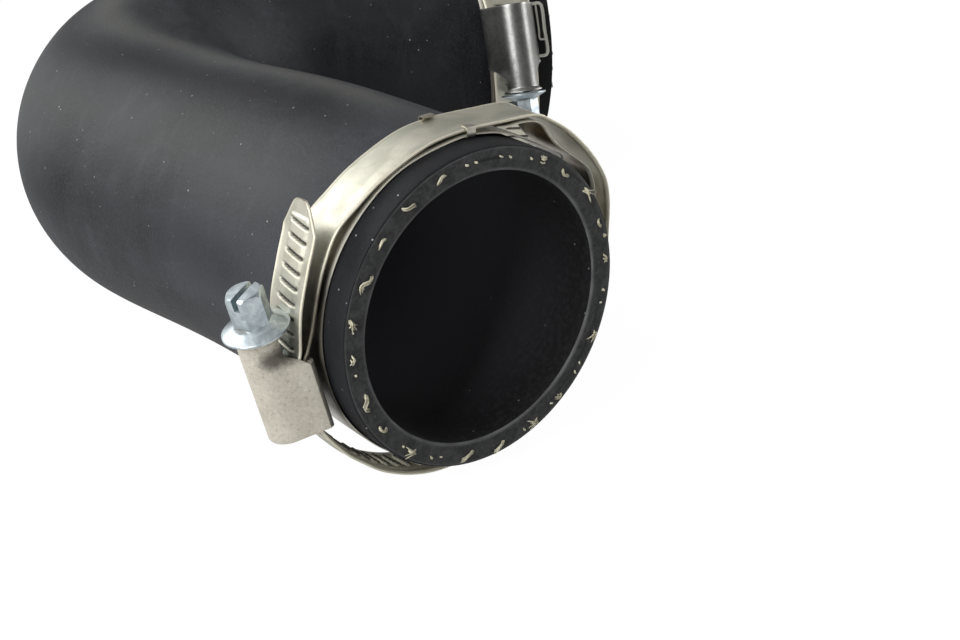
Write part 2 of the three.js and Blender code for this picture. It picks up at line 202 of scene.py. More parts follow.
def polar(angle, radius):
    a = np.radians(np.asarray(angle, float))
    return np.stack([radius * np.cos(a), radius * np.sin(a)], -1)


def smoothstep(low, high, x):
    t = np.clip((np.asarray(x, float) - low) / (high - low), 0, 1)
    return t * t * (3 - 2 * t)


def turn_about(axis, degrees):
    return np.array(Matrix.Rotation(math.radians(degrees), 3, Vector(axis)))


# ---------------------------------------------------------------- paths


def smooth_path(points, steps=24):
    """A centripetal curve through points, as a dense polyline."""
    p = np.asarray(points, float)
    p = np.vstack([2 * p[0] - p[1], p, 2 * p[-1] - p[-2]])
    out = []
    for i in range(1, len(p) - 2):
        a, b, c, d = p[i - 1 : i + 3]
        d0, d1, d2 = (np.sqrt(np.linalg.norm(v)) for v in (b - a, c - b, d - c))
        t1 = ((b - a) / d0 - (c - a) / (d0 + d1) + (c - b) / d1) * d1
        t2 = ((c - b) / d1 - (d - b) / (d1 + d2) + (d - c) / d2) * d1
        w = np.linspace(0, 1, steps, endpoint=False)[:, None]
        square, cube = 3 * (c - b) - 2 * t1 - t2, 2 * (b - c) + t1 + t2
        out.append(b + t1 * w + square * w**2 + cube * w**3)
    return np.vstack(out + [p[-2:-1]])


def along_path(line, distances):
    """Points and unit tangents at distances along a polyline."""
    run = np.concatenate([[0], np.cumsum(np.linalg.norm(np.diff(line, axis=0), axis=1))])
    tangent = np.gradient(line, run, axis=0)
    tangent /= np.linalg.norm(tangent, axis=1)[:, None]
    at, t = (
        np.stack([np.interp(distances, run, column) for column in rows.T], -1)
        for rows in (line, tangent)
    )
    return at, t / np.linalg.norm(t, axis=1)[:, None]


def path_length(line):
    return float(np.linalg.norm(np.diff(line, axis=0), axis=1).sum())


# ---------------------------------------------------------------- meshes


class Shell:
    """Points in millimetres, faces, and numbers kept on each point."""

    def __init__(self, points, faces, **marks):
        self.points = np.asarray(points, float).reshape(-1, 3)
        self.faces = [tuple(int(i) for i in f) for f in faces]
        self.marks = {k: np.asarray(v, float) for k, v in marks.items()}

    def volume(self):
        total = 0.0
        p = self.points - self.points.mean(0)
        for f in self.faces:
            for k in range(1, len(f) - 1):
                total += np.dot(p[f[0]], np.cross(p[f[k]], p[f[k + 1]]))
        return total

    def outward(self):
        if self.volume() < 0:
            self.faces = [f[::-1] for f in self.faces]
        return self

    def moved(self, place):
        """The shell after place(points) puts its points in the hose's frame."""
        self.points = place(self.points)
        return self


def joined(shells):
    points, faces, start = [], [], 0
    names = sorted({k for s in shells for k in s.marks})
    marks = {k: [] for k in names}
    for s in shells:
        points.append(s.points)
        faces += [tuple(i + start for i in f) for f in s.faces]
        for k in names:
            width = next(m.marks[k].shape[1:] for m in shells if k in m.marks)
            marks[k].append(s.marks.get(k, np.zeros((len(s.points),) + width)))
        start += len(s.points)
    return Shell(np.vstack(points), faces, **{k: np.concatenate(v) for k, v in marks.items()})


def grid_faces(rows, columns, closed_rows=False):
    """Faces between rows of points that each go round, and round again if closed."""
    faces = []
    for r in range(rows if closed_rows else rows - 1):
        for c in range(columns):
            a, b = r * columns + c, r * columns + (c + 1) % columns
            n = (r + 1) % rows
            faces.append((a, b, n * columns + (c + 1) % columns, n * columns + c))
    return faces


def smooth_but_sharp(mesh, degrees):
    mesh.shade_smooth()
    mesh.set_sharp_from_angle(angle=math.radians(degrees))


def make_object(name, shell, materials, sharp, face_materials=None):
    """A mesh object in the shared frame, smooth but for its sharp edges."""
    mesh = bpy.data.meshes.new(name)
    mesh.from_pydata(world(shell.points).tolist(), [], shell.faces)
    for key, values in shell.marks.items():
        kind = "FLOAT" if values.ndim == 1 else "FLOAT_VECTOR"
        layer = mesh.attributes.new(key, kind, "POINT")
        field = "value" if kind == "FLOAT" else "vector"
        layer.data.foreach_set(field, values.astype(np.float32).ravel())
    mesh.update()
    smooth_but_sharp(mesh, sharp)
    piece = bpy.data.objects.new(name, mesh)
    bpy.context.scene.collection.objects.link(piece)
    for m in materials:
        mesh.materials.append(m)
    if face_materials is not None:
        mesh.polygons.foreach_set("material_index", np.asarray(face_materials, np.int32))
    return piece


def settle(piece):
    """Turn what the modifiers make into the piece's own plain mesh."""
    bpy.context.view_layer.update()
    graph = bpy.context.evaluated_depsgraph_get()
    mesh = bpy.data.meshes.new_from_object(
        piece.evaluated_get(graph), preserve_all_data_layers=True, depsgraph=graph
    )
    piece.modifiers.clear()
    old = piece.data
    piece.data = mesh
    mesh.name = piece.name
    bpy.data.meshes.remove(old)
    return piece


def keep(piece, body, slot, *nodes):
    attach(piece, body)
    if nodes:
        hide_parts(*nodes)


# ---------------------------------------------------------------- nodes


class Wire:
    """One output of a node tree. Arithmetic on it adds Math nodes."""

    def __init__(self, bench, socket):
        self.bench, self.socket = bench, socket

    def maths(self, operation, *values, clamp=False):
        settings = {"operation": operation, "use_clamp": clamp}
        return self.bench.node("ShaderNodeMath", settings, dict(enumerate(values)))

    def __add__(self, other):
        return self.maths("ADD", self, other)

    def __radd__(self, other):
        return self.maths("ADD", other, self)

    def __sub__(self, other):
        return self.maths("SUBTRACT", self, other)

    def __rsub__(self, other):
        return self.maths("SUBTRACT", other, self)

    def __mul__(self, other):
        return self.maths("MULTIPLY", self, other)

    def __truediv__(self, other):
        return self.maths("DIVIDE", self, other)

    def __pow__(self, other):
        return self.maths("POWER", self, other)

    def __abs__(self):
        return self.maths("ABSOLUTE", self)

    def fraction(self):
        return self.maths("FRACT", self)

    def limited(self):
        return self.maths("ADD", self, 0.0, clamp=True)

    def step(self, low, high):
        """0 below low, 1 above high, smooth between; low may be the larger."""
        if low > high:
            return 1.0 - self.step(high, low)
        values = {"Value": self, "From Min": low, "From Max": high}
        return self.bench.node("ShaderNodeMapRange", {"interpolation_type": "SMOOTHSTEP"}, values)


class Bench:
    """A node tree being built."""

    def __init__(self, tree):
        self.tree = tree

    def node(self, kind, settings=None, values=None, output=0):
        node = self.tree.nodes.new(kind)
        for key, value in (settings or {}).items():
            if key == "stops":
                ramp = node.color_ramp.elements
                while len(ramp) < len(value):
                    ramp.new(0.5)
                for spot, (place, colour) in zip(ramp, value):
                    spot.position, spot.color = place, (*colour, 1.0)
            else:
                setattr(node, key, value)
        for key, value in (values or {}).items():
            socket = node.inputs[key]
            if isinstance(value, Wire):
                self.tree.links.new(value.socket, socket)
            elif socket.type == "RGBA" and value is not None:
                socket.default_value = (*value, 1.0)
            elif value is not None:
                socket.default_value = value
        return Wire(self, node.outputs[output])

    def attribute(self, name, vector=False):
        return self.node("ShaderNodeAttribute", {"attribute_name": name}, output=1 if vector else 2)

    def named(self, name, kind="FLOAT_VECTOR"):
        return self.node("GeometryNodeInputNamedAttribute", {"data_type": kind}, {"Name": name})

    def place(self):
        return self.node("ShaderNodeTexCoord", output=3)

    def stretched(self, vector, x, y, z):
        values = {"Vector": vector, "Scale": (x, y, z)}
        return self.node("ShaderNodeMapping", {"vector_type": "POINT"}, values)

    def noise(self, vector, scale, detail=2.0, rough=0.5, distortion=0.0):
        values = {
            "Vector": vector, "Scale": scale, "Detail": detail, "Roughness": rough,
            "Distortion": distortion,
        }
        return self.node("ShaderNodeTexNoise", None, values)

    def cells(self, vector, scale):
        return self.node("ShaderNodeTexVoronoi", None, {"Vector": vector, "Scale": scale})

    def specks(self, vector, scale, size, patches):
        """Small round spots, kept to the patches that a second texture leaves open."""
        return self.cells(vector, scale).step(*size) * patches

    def mixed(self, factor, a, b):
        settings = {"data_type": "RGBA", "blend_type": "MIX"}
        return self.node("ShaderNodeMix", settings, {0: factor, 6: a, 7: b}, output=2)

    def bump(self, height, distance, strength=1.0, normal=None):
        values = {"Height": height, "Distance": distance, "Strength": strength, "Normal": normal}
        return self.node("ShaderNodeBump", None, values)

    def ray_kinds(self):
        """Wires that are 1 for rays from the camera, off gloss and through glass."""
        camera = self.node("ShaderNodeLightPath")
        found = camera.socket.node.outputs
        return camera, Wire(self, found["Is Glossy Ray"]), Wire(self, found["Is Transmission Ray"])

    def emit(self, shader, kind):
        """Send the finished shader to the tree's output."""
        end = self.tree.nodes.new(kind)
        self.tree.links.new(shader.socket, end.inputs["Surface"])


class Finish(Bench):
    """A material being built."""

    def __init__(self, name):
        self.material = bpy.data.materials.new(name)
        self.material.use_nodes = True
        super().__init__(self.material.node_tree)
        self.tree.nodes.clear()

    def surface(self, **values):
        inputs = {k.replace("_", " "): v for k, v in values.items()}
        self.emit(self.node("ShaderNodeBsdfPrincipled", None, inputs), "ShaderNodeOutputMaterial")
        return self.material


# ---------------------------------------------------------------- materials


def rubber_skin(settings):
    f = Finish("rubber_skin")
    place = f.place()
    cloud = f.noise(place, 22.0, 4.0, 0.55, 0.6)
    drift = f.noise(f.stretched(place, 60.0, 18.0, 60.0), 1.0, 5.0, 0.6, 0.4)
    scuff = f.noise(f.stretched(place, 260.0, 90.0, 420.0), 1.0, 6.0, 0.7, 1.0)
    grain = f.noise(place, 2600.0, 3.0, 0.7)
    pores = f.cells(place, 1500.0)
    lip = f.attribute("lip")
    patches = (f.noise(place, 210.0, 4.0, 0.7) + lip * 0.06).step(0.5, 0.62)
    speck = f.specks(place, 480.0, (0.11, 0.05), patches)
    wisps = f.noise(f.stretched(place, 95.0, 95.0, 30.0), 1.0, 5.0, 0.65, 1.2)
    bloom = cloud.step(0.4, 0.65) * 0.5 + drift.step(0.42, 0.62) * 0.35
    bloom = (bloom + wisps.step(0.5, 0.68) * 0.35).limited()
    colour = f.mixed(bloom, tuple(settings.skin_colour), tuple(settings.bloom_colour))
    for worn in (grain.step(0.46, 0.66) * 0.5, scuff.step(0.55, 0.7) * 0.35):
        colour = f.mixed(worn, colour, (0.07, 0.073, 0.08))
    # Painted highlight and painted shade: light grey and near black streaks, and a darker rear leg
    colour = f.mixed(f.attribute("dusty") * (0.45 + wisps * 0.5), colour, (0.105, 0.108, 0.1))
    colour = f.mixed(f.attribute("polished") * (0.5 + cloud * 0.5), colour, (0.006, 0.006, 0.0075))
    # Painted shade: the skin near each cut end is darkened, by and under the bands
    colour = f.mixed(lip * 0.75, colour, (0.008, 0.008, 0.009))
    colour = f.mixed(speck * 0.9, colour, (0.5, 0.5, 0.47))
    rough = 0.5 + bloom * 0.12 + grain * 0.1 + lip * 0.06
    height = grain * 0.5 + scuff * 0.5 + pores * 0.35
    normal = f.bump(height, 0.0002, 0.55, f.bump(drift, 0.0012, 0.4))
    return f.surface(Base_Color=colour, Roughness=rough, Specular_IOR_Level=0.2, Normal=normal)


def rubber_cut():
    f = Finish("rubber_cut")
    place = f.place()
    grain = f.noise(place, 1900.0, 4.0, 0.75)
    torn = f.noise(place, 420.0, 4.0, 0.65, 0.8)
    rim = f.attribute("rim")
    ply = f.attribute("ply")
    crumbs = f.specks(place, 520.0, (0.14, 0.06), f.noise(place, 300.0).step(0.52, 0.64))
    colour = f.mixed(torn.step(0.35, 0.7), (0.034, 0.035, 0.036), (0.078, 0.079, 0.08))
    colour = f.mixed(grain.step(0.45, 0.8) * 0.5, colour, (0.13, 0.131, 0.132))
    colour = f.mixed(rim * 0.8, colour, (0.19, 0.192, 0.195))
    colour = f.mixed(crumbs * 0.35, colour, (0.2, 0.2, 0.2))
    colour = f.mixed(ply, colour, (0.004, 0.004, 0.005))
    normal = f.bump(torn * 0.7 + grain * 0.3 - ply * 0.6, 0.0004, 0.5)
    return f.surface(Base_Color=colour, Roughness=0.82, Specular_IOR_Level=0.3, Normal=normal)


def rubber_bore():
    f = Finish("rubber_bore")
    place = f.place()
    grain = f.noise(place, 900.0, 3.0, 0.6)
    specks = f.specks(place, 330.0, (0.09, 0.04), f.noise(place, 90.0).step(0.5, 0.65))
    colour = f.mixed(grain.step(0.4, 0.7), (0.011, 0.011, 0.012), (0.02, 0.02, 0.022))
    # Painted light: the bore is lighter further in from the cut ends
    colour = f.mixed(f.attribute("deep"), colour, (0.28, 0.28, 0.31))
    colour = f.mixed(specks * 0.8, colour, (0.3, 0.3, 0.3))
    normal = f.bump(grain, 0.0002, 0.4)
    return f.surface(Base_Color=colour, Roughness=0.75, Specular_IOR_Level=0.15, Normal=normal)


def band_steel(settings):
    f = Finish("band_steel")
    place = f.place()
    flow = f.attribute("flow", vector=True)
    brushed = f.noise(f.stretched(flow, 0.25, 9.0, 1.0), 1.0, 3.0, 0.6)
    cloud = f.noise(f.stretched(flow, 0.11, 0.2, 1.0), 1.0, 3.0, 0.5, 0.8)
    tarnish = f.noise(place, 140.0, 4.0, 0.6, 0.5)
    pits = f.specks(place, 700.0, (0.1, 0.05), f.noise(place, 240.0).step(0.5, 0.62))
    edge = f.attribute("edge")
    slit = f.attribute("slit")
    colour = f.mixed(cloud.step(0.4, 0.65) * 0.6, tuple(settings.band_colour), (0.46, 0.47, 0.39))
    colour = f.mixed(tarnish.step(0.5, 0.7) * 0.45, colour, (0.4, 0.37, 0.28))
    # Painted highlight: the band's edges are lighter and less metallic
    colour = f.mixed(edge, colour, (0.78, 0.74, 0.6))
    colour = f.mixed(pits * 0.5, colour, (0.16, 0.15, 0.13))
    # Darker brown on the left of the ring
    soil = f.attribute("soil") * (0.55 + tarnish * 0.6).limited()
    colour = f.mixed(soil, colour, (0.085, 0.07, 0.045))
    # Painted shade: the pressed slits are near black and rougher
    colour = f.mixed(slit, colour, (0.035, 0.033, 0.03))
    rough = 0.34 + brushed * 0.12 + tarnish * 0.1 + slit * 0.3 + edge * 0.1
    metal = 1.0 - slit * 0.6 - edge * 0.6
    normal = f.bump(brushed, 0.00004, 0.5, f.bump(tarnish, 0.0002, 0.25))
    return f.surface(Base_Color=colour, Roughness=rough, Metallic=metal, Normal=normal)


def liner_steel(settings):
    f = Finish("liner_steel")
    place = f.place()
    flow = f.attribute("flow", vector=True)
    brushed = f.noise(f.stretched(flow, 0.3, 8.0, 1.0), 1.0, 3.0, 0.6)
    tarnish = f.noise(place, 150.0, 4.0, 0.6, 0.5)
    edge = f.attribute("edge")
    colour = f.mixed(tarnish.step(0.4, 0.75) * 0.5, (0.6, 0.57, 0.5), (0.38, 0.31, 0.22))
    colour = f.mixed(f.attribute("inner") * 0.6, colour, (0.24, 0.18, 0.12))
    # Painted highlight: the liner's edges and one long border get a light colour and less metal
    bright = (edge.step(0.1, 0.6) + f.attribute("brim") * 0.8).limited()
    colour = f.mixed(bright, colour, tuple(settings.liner_colour))
    # Darker brown on the left of the ring
    colour = f.mixed(f.attribute("soil") * 0.85, colour, (0.06, 0.05, 0.035))
    rough = 0.24 + brushed * 0.1 + tarnish * 0.1 + edge * 0.25
    metal, normal = 1.0 - bright * 0.75, f.bump(brushed, 0.00003, 0.5)
    return f.surface(Base_Color=colour, Roughness=rough, Metallic=metal, Normal=normal)


# What differs between the housings: clean colour, dull and bright mottling, strength of
# the pits, roughness, metallic level
HOUSING_LOOKS = {
    "front": ("housing_colour", (0.62, 0.58, 0.49), (0.86, 0.82, 0.73), 0.6, 0.5, 0.7),
    # Painted reflection: the rear housing's three colours are dark, standing in for the dark rubber
    # it mirrors
    "rear": ("rear_housing_colour", (0.2, 0.2, 0.19), (0.34, 0.34, 0.33), 0.15, 0.3, 1.0),
}


def housing_steel(settings, end):
    f = Finish(f"{end}_housing_steel")
    place = f.place()
    speckle = f.noise(place, 1500.0, 3.0, 0.75)
    cloud = f.noise(place, 190.0, 4.0, 0.6, 0.4)
    pits = f.specks(place, 900.0, (0.13, 0.06), f.noise(place, 350.0).step(0.46, 0.6))
    clean, dull, bright, pitted, rough, metal = HOUSING_LOOKS[end]
    colour = f.mixed(cloud.step(0.3, 0.75), tuple(getattr(settings, clean)), dull)
    colour = f.mixed(speckle.step(0.5, 0.72) * 0.6, colour, bright)
    colour = f.mixed(speckle.step(0.46, 0.3) * 0.5, colour, tuple(c * 0.55 for c in dull))
    colour = f.mixed(pits * pitted, colour, (0.12, 0.11, 0.09))
    # Painted shade: darker brown, rougher and less metallic at a corner by the notch and along the
    # housing's foot by the hose
    housing_shade_mask = (f.attribute("soot") * 1.15 - speckle * 0.4).step(-0.15, 0.85)
    colour = f.mixed(housing_shade_mask * 0.85, colour, (0.06, 0.052, 0.04))
    pale = f.attribute("pale")
    colour = f.mixed(pale * 0.9, colour, (0.74, 0.73, 0.65))
    rough = rough + speckle * 0.14 + housing_shade_mask * 0.3
    metal = metal - housing_shade_mask * 0.6 - pale * 0.35
    normal = f.bump(speckle + pits * -0.6, 0.00008, 0.5, f.bump(cloud, 0.0003, 0.2))
    return f.surface(Base_Color=colour, Roughness=rough, Metallic=metal, Normal=normal)


def screw_zinc(settings):
    f = Finish("screw_zinc")
    place = f.place()
    cloud = f.noise(place, 420.0, 4.0, 0.6, 0.6)
    grain = f.noise(place, 2200.0, 3.0, 0.7)
    colour = f.mixed(cloud.step(0.35, 0.7), tuple(settings.screw_colour), (0.66, 0.73, 0.76))
    # Rust at the hexagon's foot, and painted shade in the slot
    stain_and_shade = (f.attribute("rust") * 1.2 - cloud * 0.9).step(0.1, 0.7) * 0.6
    colour = f.mixed(stain_and_shade, colour, (0.1, 0.075, 0.05))
    rough = 0.24 + grain * 0.14 + stain_and_shade * 0.3
    metal, normal = 0.9 - stain_and_shade * 0.7, f.bump(grain, 0.00006, 0.4)
    return f.surface(Base_Color=colour, Roughness=rough, Metallic=metal, Normal=normal)


def yarn_fibre(settings):
    f = Finish("yarn_fibre")
    place = f.place()
    shade = f.noise(place, 900.0, 3.0, 0.6)
    colour = f.mixed(shade.step(0.35, 0.7), tuple(settings.yarn_colour), (0.5, 0.46, 0.33))
    return f.surface(Base_Color=colour, Roughness=0.85, Specular_IOR_Level=0.25)


# ---------------------------------------------------------------- hose


def hose_rows():
    """Rows round the wall, once along the outside and back through the bore:
    distance along, radius."""
    edge, length, inner, outer = CUT_EDGE, HOSE_LENGTH, BORE_R, HOSE_R
    flat = WALL - 2 * edge

    def corner(s, r, ds, dr, from_face):
        """The rounded edge of a cut face, without its last row, which the next run brings."""
        for k in range(3):
            a = (k / 3) * math.pi / 2
            bends = (1 - math.cos(a), 1 - math.sin(a))
            near, far = bends if from_face else bends[::-1]
            rows.append((s + ds * edge * near, r + dr * edge * far))

    rows = [(0.0, inner + edge + flat * k / FRONT_FACE_ROWS) for k in range(FRONT_FACE_ROWS + 1)]
    corner(0.0, outer, 1, -1, True)
    rows += [(s, outer) for s in np.linspace(edge, length - edge, SKIN_ROWS)]
    corner(length, outer, -1, -1, False)
    rows += [(length, outer - edge - flat * k / REAR_FACE_ROWS) for k in range(REAR_FACE_ROWS + 1)]
    corner(length, inner, -1, 1, True)
    rows += [(s, inner) for s in np.linspace(length - edge, edge, BORE_ROWS)]
    corner(0.0, inner, 1, 1, False)
    return np.array(rows)


def build_hose(settings):
    rows = hose_rows()
    apart = np.hypot(*np.diff(rows, axis=0).T) > 1e-4
    s, r = rows[np.concatenate([[True], apart])].T
    centre, heading, side, swell = hose_station(s)
    ds, dt = s[:, None], (np.arange(HOSE_COLUMNS) / HOSE_COLUMNS * 2 * math.pi)[None, :]
    on_skin = smoothstep(HOSE_R - 0.6, HOSE_R - 0.1, r)[:, None]
    bend = np.exp(-(((ds - FRONT_LEG - BEND_LENGTH * 0.55) / 38) ** 2))
    ripple = 0.16 * np.sin(ds * 0.21 + 2.1 * np.sin(dt)) * bend * (1 - np.cos(dt)) / 2
    ripple = ripple + 0.10 * np.sin(3 * dt + ds * 0.05) * smoothstep(16, 40, ds)
    ripple = ripple + 0.07 * np.sin(7 * dt + 0.9 * np.sin(ds * 0.11)) * bend
    radius = r[:, None] + swell[:, None] + ripple * on_skin
    points = centre[:, None, :] + side[:, None, :] * (radius * np.cos(dt))[..., None]
    points = points + np.array([0, 0, 1.0]) * (radius * np.sin(dt))[..., None]
    # The knife left the cut faces slightly uneven
    cut_front = (s < 0.001)[:, None] * 1.0
    cut_rear = (s > HOSE_LENGTH - 0.001)[:, None] * 1.0
    uneven = 0.05 * np.sin(5 * dt + 1.0) + 0.04 * np.sin(17 * dt) * np.sin((r[:, None] - 25) * 2.0)
    points = points + heading[:, None, :] * (uneven * (cut_front - cut_rear))[..., None]
    from_edge = np.minimum(abs(r - BORE_R), abs(HOSE_R - r))
    patchy = 0.55 + 0.45 * np.sin(9 * dt + 2 * np.sin(3 * dt)) ** 2
    deg = np.degrees(dt) % 360
    # Dark lines on the cut faces, where two plies meet
    arc = smoothstep(80, 84, deg) * smoothstep(96, 92, deg)
    arc = arc + 0.6 * smoothstep(300, 306, deg) * smoothstep(352, 344, deg)
    ply = np.exp(-(((r[:, None] - PLY_R) / PLY_WIDTH) ** 2)) * np.clip(arc, 0, 1) * 0.9
    from_end = np.minimum(ds, HOSE_LENGTH - ds) + 0 * dt
    # Painted highlight and painted shade in streaks along the top of the front leg, like
    # reflections of the studio lights
    drift = deg - 84.0 - 20.0 * smoothstep(105, 145, ds)
    dusty = np.exp(-((drift / 9) ** 2)) + 0.5 * np.exp(-(((drift - 52) / 20) ** 2))
    polished = 0.95 * np.exp(-(((drift - 21) / 10) ** 2))
    polished = polished + 0.5 * np.exp(-(((drift - 88) / 14) ** 2))
    reach = smoothstep(10, 45, ds) * smoothstep(185, 150, ds)
    marks = {
        "rim": smoothstep(0.75, 0.2, from_edge)[:, None] * patchy,
        "ply": ply,
        "lip": smoothstep(12.0, 7.0, from_end),
        "deep": smoothstep(2.0, 60.0, from_end),
        "dusty": dusty * reach,
        # The rear leg is darkened too: painted shade
        "polished": polished * reach + 0.75 * smoothstep(175, 205, ds),
    }
    marks = {name: values.ravel() for name, values in marks.items()}
    faces = grid_faces(len(s), HOSE_COLUMNS, True)
    shell = Shell(points.reshape(-1, 3), faces, **marks).outward()
    inside = (abs(r - BORE_R) < 1e-6) & (s > 0.3) & (s < HOSE_LENGTH - 0.3)
    at_face = ((s < 0.36) | (s > HOSE_LENGTH - 0.36)) & (r < HOSE_R - 0.2)
    # A strip of faces lies between a row and the next, so both have to agree
    bore, cut = (rows & np.roll(rows, -1) for rows in (inside, at_face))
    materials = [rubber_skin(settings), rubber_cut(), rubber_bore()]
    slots = np.repeat(np.where(bore, 2, np.where(cut, 1, 0)), HOSE_COLUMNS)
    piece = make_object("rubber_hose", shell, materials, 50.0, slots)
    keep(piece, "hose_and_clamps", "rubber", "hose")


# ---------------------------------------------------------------- clamps


class Clamp:
    """Sizes of one clamp and the place of its ring on the hose."""

    def __init__(self, end):
        self.kind = kind = CLAMPS[end]
        self.width, self.start = kind["width"], kind["start"]
        grip = HOSE_R + kind["slack"]
        self.axis_r = grip + AXIS_STANDOFF
        self.threaded_r = self.axis_r - WORM_R - WORM_CLEARANCE
        self.fixed_r = self.threaded_r - BAND_SHEET - GAP
        self.band_r = grip + GAP + LINER_SHEET + GAP + BAND_SHEET
        self.liner_r = grip + GAP + LINER_SHEET / 2
        s = kind["setback"] if end == "front" else HOSE_LENGTH - kind["setback"]
        centre, heading, side, _ = hose_station(s)
        basis = np.stack([side, [0, 0, 1.0], -heading], 1)
        if end == "rear":
            basis = turn_about(side, REAR_LEAN) @ basis @ turn_about((0, 0, 1), REAR_TURN)
        self.centre, self.basis = centre, basis
        self.outward = polar(HOUSING_ANGLE, 1.0)
        self.headward = np.array([self.outward[1], -self.outward[0]])

    def place(self, points):
        return self.centre + np.asarray(points) @ self.basis.T

    def by_screw(self, along, out):
        return self.outward * out + self.headward * along

    def from_screw(self, points):
        """Points by the screw's axis (out, across, along) in the hose's frame."""
        p = np.asarray(points, float)
        ring = self.outward * (self.axis_r + p[..., 0:1]) + self.headward * p[..., 2:3]
        return self.place(np.concatenate([ring, p[..., 1:2]], -1))

    def band_line(self):
        start, fixed, threaded = self.start, self.fixed_r, self.threaded_r
        rows = [self.by_screw(a, fixed) for a in (start + GAP, 0, SKIRT_END + GAP)]
        rows += [polar(a, self.band_r + lift) for a, lift in BAND_LIFTS]
        rows += [self.by_screw(a, threaded) for a in (start, start + SKIRT_LEAD, 0, SKIRT_END)]
        rows += [polar(a, self.band_r + lift) for a, lift in TAIL_LIFTS]
        return smooth_path(rows)

    def liner_line(self):
        return smooth_path([polar(a, self.liner_r + lift) for a, lift in LINER_LIFTS])


def end_caps(rows, total, reverse_first):
    """Faces that close both ends of a flat strip whose rows go round it."""
    caps = []
    for row in (0, rows - 1):
        low, high = row * total, (row + 1) * total - 1
        for c in range(total // 2 - 1):
            face = (low + c, low + c + 1, high - 1 - c, high - c)
            caps.append(face[::-1] if (row == 0) == reverse_first else face)
    return caps


def strip(clamp, line, distances, halves, sheet, columns, outer_offset, roll=0.0):
    """A sheet strip along a line: halves is the half width at each distance."""
    at, tangent = along_path(line, distances)
    normal = np.stack([-tangent[:, 1], tangent[:, 0]], -1)
    u = np.linspace(-1, 1, columns)
    u = np.sign(u) * (1 - (1 - abs(u)) ** 1.25)
    across = u[None, :] * halves[:, None]
    inset = halves[:, None] - abs(across)
    rolled = roll * smoothstep(0.75, 0.1, inset)
    soft = 0.32 * sheet * smoothstep(0.22, 0.0, inset)
    top = outer_offset + rolled - soft
    bottom = outer_offset + rolled - sheet + soft
    rows, total = len(distances), 2 * columns
    out = np.concatenate([top, bottom[:, ::-1]], 1)
    lay = np.concatenate([across, across[:, ::-1]], 1)
    ring = at[:, None, :] + normal[:, None, :] * out[..., None]
    points = np.concatenate([ring, lay[..., None]], -1).reshape(-1, 3)
    faces = grid_faces(rows, total) + end_caps(rows, total, False)
    run = np.repeat(distances, total)
    flow = np.stack([run, lay.ravel(), 0 * run], -1)
    flat = np.concatenate([normal, np.zeros((rows, 1))], -1)
    rise = world_direction(np.repeat(flat, total, axis=0) @ clamp.basis.T)
    edge = smoothstep(0.55, 0.15, np.concatenate([inset, inset[:, ::-1]], 1)).ravel()
    brim = smoothstep(1.3, 0.8, halves[:, None] - lay).ravel()
    inner = np.tile(np.repeat([0.0, 1.0], columns), rows)
    # The left of the ring is darker brown, on the liner and the first part of the band
    turn = np.degrees(np.arctan2(at[:, 1], at[:, 0])) % 360
    soil = smoothstep(150, 166, turn) * smoothstep(215, 205, turn)
    soil = np.repeat(soil * ((distances < 80) | (sheet < 0.5)), total)
    shell = Shell(points, faces, flow=flow, rise=rise, inner=inner, edge=edge, brim=brim, soil=soil)
    return shell.outward().moved(clamp.place)


def node_group(name, inputs):
    """A geometry node group on its bench, and its inputs: name, kind, default."""
    tree = bpy.data.node_groups.new(name, "GeometryNodeTree")
    inputs = [("Geometry", "Geometry", None), *inputs, ("Material", "Material", None)]
    for key, kind, default in inputs:
        socket = tree.interface.new_socket(key, in_out="INPUT", socket_type=f"NodeSocket{kind}")
        if default is not None:
            socket.default_value = default
    tree.interface.new_socket("Geometry", in_out="OUTPUT", socket_type="NodeSocketGeometry")
    bench = Bench(tree)
    start = tree.nodes.new("NodeGroupInput")
    return bench, {o.name: Wire(bench, o) for o in start.outputs if o.name}


def close_group(bench, geometry, material):
    """Make what was built real, give it its material and send it out."""
    real = bench.node("GeometryNodeRealizeInstances", None, {"Geometry": geometry})
    done = bench.node("GeometryNodeSetMaterial", None, {"Geometry": real, "Material": material})
    end = bench.tree.nodes.new("NodeGroupOutput")
    bench.tree.links.new(done.socket, end.inputs[0])
    return bench.tree


def pressed_thread_tree():
    """Geometry nodes that press the worm's thread into the free end of a band."""
    b, given = node_group("pressed_thread", [
        (name, "Float", value) for name, value in (
            ("Pitch", WORM_PITCH), ("Slant", THREAD_SLANT), ("Half Width", 3.0),
            ("First", THREAD_FIRST), ("Last", 70.0), ("Pad Height", 0.25),
            ("Slit Depth", SLIT_DEPTH), ("Slit Width", SLIT_WIDTH),
        )
    ])
    run = b.node("ShaderNodeSeparateXYZ", None, {0: b.named("flow")})
    across = Wire(b, run.socket.node.outputs[1])
    turn = (run + across * given["Slant"]) / given["Pitch"]
    from_slit = abs(turn.fraction() - 0.5) * given["Pitch"]
    slit = 1.0 - (from_slit / given["Slit Width"]).step(0.35, 1.0)
    inside = (abs(across) / given["Half Width"]).step(1.0, 0.86)
    zone = (run - given["First"]).step(0.0, 0.6) * (given["Last"] - run).step(0.0, 0.6)
    lens = (abs(across) / given["Half Width"]) ** 2.0
    pad = (from_slit / given["Pitch"]).step(0.1, 0.2) * (1.0 - lens * 0.3)
    height = inside * zone * (pad * given["Pad Height"] - slit * given["Slit Depth"])
    values = {0: b.named("rise"), "Scale": height * MM}
    offset = b.node("ShaderNodeVectorMath", {"operation": "SCALE"}, values)
    values = {"Geometry": given["Geometry"], "Offset": offset}
    moved = b.node("GeometryNodeSetPosition", None, values)
    settings = {"data_type": "FLOAT", "domain": "POINT"}
    values = {"Geometry": moved, "Name": "slit", "Value": (slit * 1.8).limited() * inside * zone}
    marked = b.node("GeometryNodeStoreNamedAttribute", settings, values)
    return close_group(b, marked, given["Material"])


